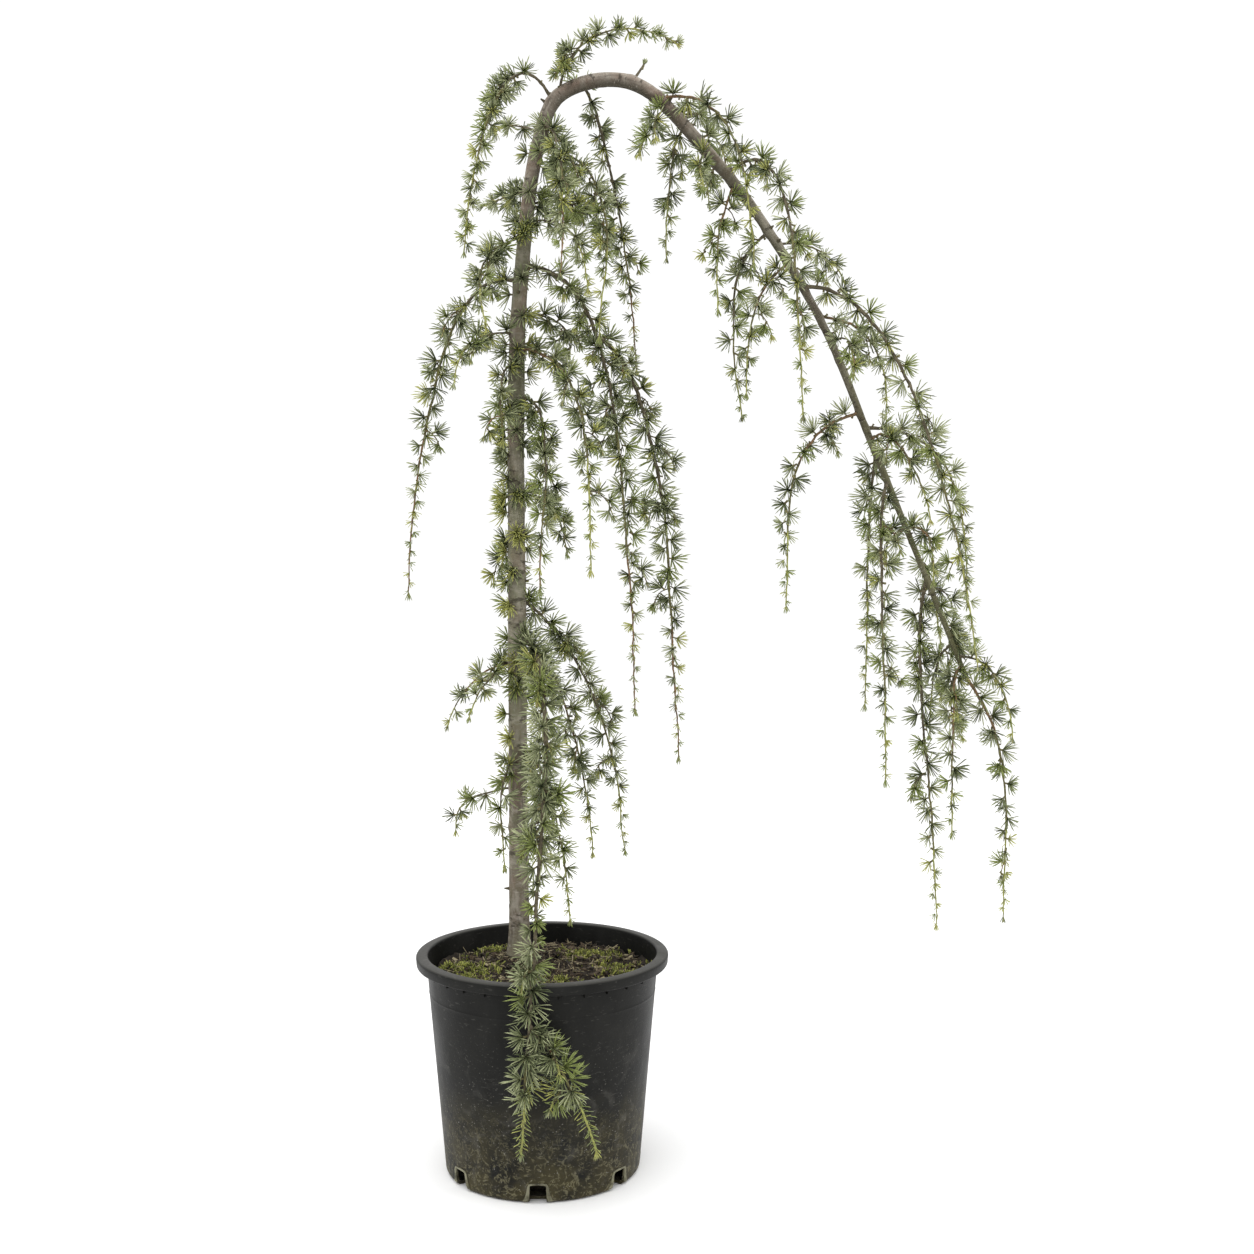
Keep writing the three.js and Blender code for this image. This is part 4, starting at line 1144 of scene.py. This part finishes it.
STEM_ROSETTE_BANDS = [(170, 340, 15), (340, 430, 11), (430, 620, 33), (620, 800, 19), (800, 920, 13)]
LEADER_ROSETTE_BAND = (1722, 1778, 8)
ROSETTE_STANDS_OFF, STEM_ROSETTE_YOUNG = 2.5, 0.5
FACE_TURNS, FACE_SHARES = [math.pi, 0.0, -math.pi / 2, math.pi / 2], [0.28, 0.20, 0.34, 0.18]

SPUR_BROWN = (0.105, 0.090, 0.044, 1.0)
SPUR_TAN = (0.22, 0.20, 0.085, 1.0)
BUD_PALE = (0.46, 0.44, 0.20, 1.0)
BUD_TAN = (0.30, 0.22, 0.11, 1.0)

spur_random = np.random.default_rng(2024)
rosettes = {group: [] for group, _ in SHOOT_GROUPS}
bare_spurs = {group: [] for group, _ in SHOOT_GROUPS}
buds = {group: [] for group, _ in SHOOT_GROUPS}


def add_rosette(group, root, axis, ripe, spread=1.0, size=1.0, young=0.0):
    rosettes[group].append((*root, *axis, ripe, spread, size, young))


def twig_surface(line, station):
    return TWIG_TIP_RADIUS * 0.7 + TWIG_SWELL * (line.length - station)


def rosette_looks(owner, line, rank, station, ripe):
    """How large a rosette is and how much of it may be young."""
    if owner == LUSH_SHOOT:
        size, young = LUSH_SIZE, LUSH_YOUNG
    else:
        fresh = owner in YOUNG_SHOOTS
        size = ROSETTE_SIZE + OLD_WOOD_MORE * min(1.0, (line.length - station) / OLD_WOOD_FROM)
        size -= FRESH_LESS * fresh
        young = (FRESH_YOUNG if fresh else END_YOUNG) * (1.0 - ripe)
    if rank == 0 and station < THIN_UNTIL.get(owner, 0.0):
        size *= THIN_SIZE
    if rank == 0 and in_lush_gap(owner, station):
        size *= GAP_SIZE
    return dict(ripe=ripe, size=size, young=young)


for owner, line, bare, rank in growth:
    group = group_of_owner[owner]
    soft = soft_end(line, rank, owner)
    bud_only = line.length < STUB_LENGTH and rank == 0
    lush, fresh = owner == LUSH_SHOOT, owner in YOUNG_SHOOTS
    closer = LUSH_PITCH if lush or fresh else LEAN_PITCH if owner in LEAN_SHOOTS else 1.0
    pitch = ROSETTE_PITCH[group] * closer
    thin_until = THIN_UNTIL.get(owner, 0.0) if rank == 0 else 0.0
    station = bare + spur_random.uniform(0, 4) + (BARE_ROOTS.get(owner, 0.0) if rank == 0 else 0.0)
    turn = spur_random.uniform(0, math.tau)
    stops = []
    while station < line.length - BARE_AT_TIP and not bud_only:
        ripe = min(1.0, (line.length - station) / soft)
        if fresh:
            ripe = 0.5 + 0.5 * ripe
        if not lush or ripe > 0.8:
            stops.append((station, ripe, turn))
        spacing = (TUFT_PITCH + (pitch - TUFT_PITCH) * ripe) * spur_random.uniform(0.8, 1.2)
        station += spacing * (THIN_PITCH if station < thin_until else 1.0)
        turn += GOLDEN_TURN + spur_random.normal(0, 0.25)
    if stops:
        frames = frames_along(line, np.array([stop[0] for stop in stops]))
        for (station, ripe, turn), centre, heading, side, over in zip(stops, *frames):
            lean = LEAN_RIPE + LEAN_YOUNG * (1 - ripe) + spur_random.normal(0, LEAN_VARIES)
            lean = math.radians(lean)
            spoke = side * math.cos(turn) + over * math.sin(turn)
            axis = unit(spoke * math.cos(lean) + heading * math.sin(lean))
            root = centre + spoke * twig_surface(line, station) * 0.8 + axis * SPUR_LENGTH * ripe
            add_rosette(group, root, axis, **rosette_looks(owner, line, rank, station, ripe))
    if rank == 0 and line.length > BARE_SPURS_FROM:
        lengths = np.arange(bare * 0.3 + 4.0, line.length * 0.45, BARE_SPUR_PITCH)
        for station, centre, heading, side, over in zip(lengths, *frames_along(line, lengths)):
            turn = spur_random.uniform(0, math.tau)
            spoke = side * math.cos(turn) + over * math.sin(turn)
            root = centre + spoke * twig_surface(line, station) * 0.8
            bare_spurs[group].append((*root, *unit(spoke + heading * 0.3)))
    tip_heading = line.ahead(line.length)
    buds[group].append((*line.point(line.length - 1.5), *tip_heading))
    if bud_only:
        add_rosette(group, line.point(line.length - 2.0), tip_heading, **STUB_TUFT)
    else:
        plume = SIDE_PLUME if rank else MAIN_PLUME
        add_rosette(group, line.point(line.length - 3.5), tip_heading, **plume)


def add_stem_rosette(group, along, turn, lowest, highest, young):
    """A rosette straight from the stem's bark, on the side that turn says."""
    spoke = np.array([math.cos(turn), math.sin(turn), 0.0])
    axis = unit(spoke + (0.0, 0.0, spur_random.uniform(lowest, highest)))
    root = stem_point(along) + spoke * (stem_radius(along) + ROSETTE_STANDS_OFF)
    add_rosette(group, root, axis, 1.0, young=young)


for low, high, count in STEM_ROSETTE_BANDS:
    for along in np.sort(spur_random.uniform(low, high, count)):
        turn = spur_random.choice(FACE_TURNS, p=FACE_SHARES) + spur_random.normal(0, 0.42)
        add_stem_rosette("left", along, turn, -0.6, 0.2, STEM_ROSETTE_YOUNG)
for along in spur_random.uniform(*LEADER_ROSETTE_BAND):
    add_stem_rosette("leader", along, spur_random.normal(0, 0.5), -0.9, 0.1, 0.0)

stem_pegs = []
for along in np.cumsum(spur_random.uniform(14.0, 46.0, 70)):
    if 60.0 < along < stem_length - 8.0:
        ahead = unit(stem_point(along + 1.5) - stem_point(along - 1.5))
        spoke = spur_random.normal(0, 1, 3)
        spoke = unit(spoke - ahead * (spoke @ ahead))
        stem_pegs.append((*(stem_point(along) + spoke * (stem_radius(along) - 0.4)), *spoke))


def grow_spindles(name, roots, headings, lengths, widths, outline, finish):
    """One piece of many small closed bodies of one outline, each a few rings along its heading."""
    ring = spokes_round(*cross_directions(headings), SPUR_SIDES)
    shares, widens = np.array(outline).T
    centres = roots[:, None] + headings[:, None] * (lengths[:, None] * shares[None])[..., None]
    points = centres[:, :, None] + ring[:, None] * (widths[:, None] * widens[None] / 2)[..., None, None]
    starts = (np.arange(len(roots)) * len(outline) * SPUR_SIDES)[:, None, None]
    face_sets = [((faces[None] + starts).reshape(-1, faces.shape[1]), 0)
                 for faces in tube_faces(len(outline), SPUR_SIDES)]
    return make_piece(name, points.reshape(-1, 3), face_sets, [finish])


spur_wood = make_twig_finish("spur_wood", SPUR_BROWN, SPUR_TAN, 0.85)
peg_wood = make_twig_finish("stem_peg_wood", TWIG_BARK, SPUR_BROWN, 0.85)
bud_scales = make_twig_finish("bud_scales", BUD_PALE, BUD_TAN, 0.55)
pegs = np.array(stem_pegs)
peg_lengths = PEG_LENGTH * spur_random.uniform(0.5, 1.2, len(pegs))
peg_widths = PEG_THICK * spur_random.uniform(0.7, 1.2, len(pegs))
stem_peg_piece = grow_spindles(
    "stem_pegs", pegs[:, :3], pegs[:, 3:], peg_lengths, peg_widths, PEG_OUTLINE, peg_wood)
fix_to_plant(stem_peg_piece, "bark", *STEM_NODES)

for group, _ in SHOOT_GROUPS:
    rows, bare_rows, bud_rows = (np.array(part[group]) for part in (rosettes, bare_spurs, buds))
    on_wood = rows[rows[:, 6] > 0.45]
    feet = np.concatenate([on_wood[:, :3] - on_wood[:, 3:6] * SPUR_LENGTH, bare_rows[:, :3]])
    axes = np.concatenate([on_wood[:, 3:6], bare_rows[:, 3:]])
    lengths = np.full(len(feet), SPUR_LENGTH)
    widths = SPUR_THICK * spur_random.uniform(0.75, 1.25, len(feet))
    spurs = grow_spindles(f"spurs_{group}", feet, axes, lengths, widths, SPUR_OUTLINE, spur_wood)
    fix_to_plant(spurs, "bark", *group_nodes[group])
    lengths = np.full(len(bud_rows), BUD_LENGTH)
    widths = np.full(len(bud_rows), BUD_THICK)
    bud_piece = grow_spindles(
        f"buds_{group}", bud_rows[:, :3], bud_rows[:, 3:], lengths, widths, BUD_OUTLINE, bud_scales)
    fix_to_plant(bud_piece, "needles", *group_nodes[group])


# ---------------------------------------------------------------- 6. Needles
# Two to three dozen stiff, three-sided, blunt needles fan out of each spur, and a few short ones
# of each tuft on the soft ends, where single needles also stand off the green stem. Wax makes
# most of them sage to blue-grey; young ones are still green. Each rosette has its own tint.

ROSETTE_NEEDLES, TUFT_NEEDLES = 27, 5
ROSETTE_LENGTH, TUFT_LENGTH = 18.8, 7.0
NEEDLE_THICK, TUFT_THICKNESS, SINGLE_THICKNESS = 1.34, 0.68, 0.76
LUSH_HEARTS, OTHER_HEARTS, HEART_WITHIN, HEART_LENGTH = 0.15, 0.60, 0.3, 0.8
SINGLE_PITCH, SINGLE_LENGTH = 6.5, 6.5
FEATHER_PITCH, FEATHER_LENGTH = 1.25, 11.8
YOUNG_PITCH, YOUNG_LENGTH = 3.0, 10.0

NEEDLE_TINTS = {
    "needle_deep_green": (0.072, 0.088, 0.036, 1.0),
    "needle_sage_green": (0.195, 0.222, 0.106, 1.0),
    "needle_pale_sage": (0.365, 0.392, 0.218, 1.0),
    "needle_fresh_green": (0.225, 0.268, 0.080, 1.0),
    "needle_yellow_green": (0.385, 0.395, 0.115, 1.0),
}


def make_needle_finish(name, colour):
    finish = start_finish(name, colour, 0.5, specular=0.35)
    place = object_place(finish)
    wax = mottle(finish, place, 3.0, 0.3, 0.7, detail=2.0)
    roughen(finish, wax, 0.45, 0.7)
    emboss(finish, wax, 0.05)
    return finish


needle_finishes = [make_needle_finish(name, colour) for name, colour in NEEDLE_TINTS.items()]
DEEP, GREY, PALE, FRESH, YELLOW = range(5)
needle_random = np.random.default_rng(77)

# Which tint falls to which part of the numbers from 0 to 1: the limits, and one more tint.
RIPE_TINTS = (0.13, 0.64, 0.88), (DEEP, GREY, PALE, FRESH)
TUFT_TINTS = (0.3, 0.8), (GREY, FRESH, YELLOW)
YOUNG_TINTS = (0.3, 0.65), (FRESH, YELLOW, PALE)
HEART_TINTS = (0.45,), (YELLOW, FRESH)
SINGLE_TINTS = (0.25, 0.75), (GREY, FRESH, YELLOW)

# Which single needles stray from their rosette's tint: (its tint, from, to, their own tint).
STRAY_TINTS = [(GREY, 0.0, 0.2, PALE), (GREY, 0.82, 1.0, DEEP),
               (PALE, 0.8, 1.0, GREY), (DEEP, 0.5, 1.0, GREY)]


def deal(numbers, limits, tints):
    return np.select([numbers < limit for limit in limits], tints[:-1], tints[-1])


def grow_needles(rows, chance):
    """All the needles of a set of rosettes: roots, headings, lengths, thickness, curl, tints."""
    rows = np.array(rows)
    roots, axes, (ripe, spread, scale, young) = rows[:, :3], rows[:, 3:6], rows[:, 6:].T
    counts = TUFT_NEEDLES + (ROSETTE_NEEDLES - TUFT_NEEDLES) * ripe
    counts = np.round(counts * chance.uniform(0.8, 1.15, len(rows))).astype(int)
    size = (TUFT_LENGTH + (ROSETTE_LENGTH - TUFT_LENGTH) * ripe) * scale
    size = size * chance.uniform(0.86, 1.12, len(rows))
    widest = np.radians(58.0 + 22.0 * ripe) * spread
    drawn = chance.uniform(0, 1, len(rows))
    tint = np.where(ripe < 0.5, deal(drawn, *TUFT_TINTS), deal(drawn, *RIPE_TINTS))
    tint = np.where(chance.uniform(0, 1, len(rows)) < young, deal(drawn, *YOUNG_TINTS), tint)
    heart_share = np.where(young == LUSH_YOUNG, LUSH_HEARTS, OTHER_HEARTS)
    young_heart = (chance.uniform(0, 1, len(rows)) < heart_share) & (ripe >= 0.5)

    owner = np.repeat(np.arange(len(rows)), counts)
    place_in_rosette = np.concatenate([np.arange(count) + 0.5 for count in counts]) / counts[owner]
    beside, over = cross_directions(axes)
    opened = (0.10 + 0.90 * np.sqrt(place_in_rosette)) * widest[owner]
    opened = opened * chance.uniform(0.9, 1.08, len(owner))
    turn = np.arange(len(owner)) * GOLDEN_TURN + chance.normal(0, 0.15, len(owner))
    outward = beside[owner] * np.cos(turn)[:, None] + over[owner] * np.sin(turn)[:, None]
    heading = unit(axes[owner] * np.cos(opened)[:, None] + outward * np.sin(opened)[:, None])
    length = size[owner] * chance.uniform(0.84, 1.1, len(owner))
    thick = NEEDLE_THICK * (TUFT_THICKNESS + (1 - TUFT_THICKNESS) * ripe[owner])
    thick = thick * chance.uniform(0.85, 1.15, len(owner))
    curl = (axes[owner] - outward * 0.5) * (length * chance.uniform(0.08, 0.22, len(owner)))[:, None]
    stray = chance.uniform(0, 1, len(owner))
    own_tint = tint[owner]
    for was, low, high, now in STRAY_TINTS:
        own_tint = np.where((stray > low) & (stray < high) & (tint[owner] == was), now, own_tint)
    heart = young_heart[owner] & (place_in_rosette < HEART_WITHIN)
    own_tint = np.where(heart, deal(drawn[owner], *HEART_TINTS), own_tint)
    length = np.where(heart, HEART_LENGTH * length, length)
    return roots[owner], heading, length, thick, curl, own_tint


def grow_single_needles(group, chance):
    """Needles that stand one by one off the soft green stems, leaning ahead."""
    parts = []
    for owner, line, _, rank in growth:
        if group_of_owner[owner] != group:
            continue
        lush = owner == LUSH_SHOOT
        pitch, longest = (FEATHER_PITCH, FEATHER_LENGTH) if lush else (SINGLE_PITCH, SINGLE_LENGTH)
        if owner in YOUNG_SHOOTS:
            pitch, longest = YOUNG_PITCH, YOUNG_LENGTH
        soft = soft_end(line, rank, owner) * (1.05 if lush else 0.8)
        stops = np.arange(max(line.length - soft, 4.0), line.length - 1.0, pitch)
        centres, ahead, across, beside = frames_along(line, stops)
        turns = (np.arange(len(stops)) * GOLDEN_TURN + chance.normal(0, 0.3, len(stops)))[:, None]
        spokes = across * np.cos(turns) + beside * np.sin(turns)
        lean = np.radians(chance.normal(24 if lush else 40, 10, len(stops)))[:, None]
        lengths = longest * (0.55 + 0.45 * np.minimum(1.0, (line.length - stops) / 40.0))
        headings = unit(spokes * np.cos(lean) + ahead * np.sin(lean))
        parts.append((centres + spokes * 0.6, headings, ahead, lengths))
    roots, headings, aheads, length = (np.concatenate(part) for part in zip(*parts))
    length = length * chance.uniform(0.8, 1.15, len(roots))
    tint = deal(chance.uniform(0, 1, len(roots)), *SINGLE_TINTS)
    thick = np.full(len(roots), NEEDLE_THICK * SINGLE_THICKNESS)
    return roots, headings, length, thick, aheads * (length * 0.12)[:, None], tint


MIX_REACH, WALL_STARTS = 118.0, 96.0
NEEDLE_GAP, NEEDLE_STEM_GAP, NEEDLE_MIX_GAP = 1.0, 0.6, 4.0
NEEDLES_AT_ONCE = 4000
NEEDLES_PER_PIECE = 17000


def out_of_the_way(roots, tips):
    """Needles that would pass into the pot, the mix or the stem never grew."""
    free = np.ones(len(roots), bool)
    for share in (0.5, 1.0):
        places = roots + (tips - roots) * share
        radius = np.hypot(places[:, 0], places[:, 1])
        height = places[:, 2]
        in_rim = (radius > MIX_REACH) & (radius < RIM_RADIUS + NEEDLE_GAP)
        in_rim &= height < POT_HEIGHT + NEEDLE_GAP
        in_wall = (radius > WALL_STARTS) & (radius < pot_wall(height) + NEEDLE_GAP)
        in_wall &= height < POT_HEIGHT - RIM_DEPTH
        in_mix = (radius < MIX_REACH) & (height < SOIL_LEVEL + NEEDLE_MIX_GAP)
        free &= ~(in_rim | in_wall | in_mix)
    for start in range(0, len(tips), NEEDLES_AT_ONCE):
        block = slice(start, start + NEEDLES_AT_ONCE)
        apart = np.linalg.norm(tips[block, None] - stem_probes[None], axis=2)
        free[block] &= (apart > stem_probe_radii[None] + NEEDLE_STEM_GAP).all(axis=1)
    return free


for group, _ in SHOOT_GROUPS:
    parts = zip(grow_needles(rosettes[group], needle_random), grow_single_needles(group, needle_random))
    roots, heading, length, thick, curl, tint = [np.concatenate(pair) for pair in parts]
    kept = np.flatnonzero(out_of_the_way(roots, roots + heading * length[:, None] + curl))
    shares = np.array_split(kept, max(1, math.ceil(len(kept) / NEEDLES_PER_PIECE)))
    for number, part in enumerate(shares):
        name = f"needles_{group}" if len(shares) == 1 else f"needles_{group}_{number + 1}"
        needles = grow_blades(
            name, roots[part], heading[part], length[part], thick[part], curl[part], tint[part],
            needle_finishes)
        fix_to_plant(needles, "needles", *group_nodes[group])


# ---------------------------------------------------------------- 7. Floor, light and camera
# A plain white floor in a plain white room, one broad soft light above the front, a much weaker
# one at the right, and a camera with no roll that looks slightly down at the whole plant.

FLOOR_WHITE = (0.95, 0.95, 0.95, 1.0)
FLOOR_WARMER = (0.96, 0.96, 0.957, 1.0)
FLOOR_HALF, FLOOR_LEVEL = 9000.0, -0.4
ROOM_STRENGTH = 1.06
CAMERA_PLACE = (0.094, -1.760, 0.709)
CAMERA_LOOKS_DOWN = 3.44

floor_finish = start_finish("floor_white", FLOOR_WHITE, 0.9, specular=0.1)
floor_shade = mottle(floor_finish, object_place(floor_finish), 400.0, 0.2, 0.8)
paint(floor_finish, blend_colour(floor_finish, floor_shade, FLOOR_WHITE, FLOOR_WARMER))
floor_points = [(FLOOR_HALF * across, FLOOR_HALF * away, FLOOR_LEVEL)
                for across, away in ((-1, -1), (1, -1), (1, 1), (-1, 1))]
floor = make_piece("studio_floor", floor_points, [(np.array([[0, 1, 2, 3]]), 0)], [floor_finish])

room = bpy.data.worlds.new("white_room")
room.use_nodes = True
room.node_tree.nodes["Background"].inputs["Color"].default_value = (1.0, 1.0, 1.0, 1.0)
room.node_tree.nodes["Background"].inputs["Strength"].default_value = ROOM_STRENGTH
bpy.context.scene.world = room
bpy.context.scene.view_settings.view_transform = "Standard"


def hang_light(name, place, aim, size, power):
    light = bpy.data.lights.new(name, "AREA")
    light.energy = power
    light.size = size
    lamp = bpy.data.objects.new(name, light)
    lamp.location = place
    ahead = np.array(aim) - np.array(place)
    tilt = math.atan2(math.hypot(ahead[0], ahead[1]), -ahead[2])
    lamp.rotation_euler = (tilt, 0.0, math.atan2(ahead[1], ahead[0]) - math.pi / 2)
    bpy.context.collection.objects.link(lamp)


hang_light("light_above", (-0.45, -0.9, 3.6), (0.1, 0.0, 0.6), 3.6, 88.0)
hang_light("light_right", (2.6, -0.8, 1.6), (0.1, 0.0, 0.6), 1.6, 14.0)

lens = bpy.data.cameras.new("camera")
lens.lens = 46.0
lens.sensor_width = 36.0
camera = bpy.data.objects.new("camera", lens)
camera.location = CAMERA_PLACE
camera.rotation_euler = (math.radians(90.0 - CAMERA_LOOKS_DOWN), 0.0, 0.0)
bpy.context.collection.objects.link(camera)
bpy.context.scene.camera = camera
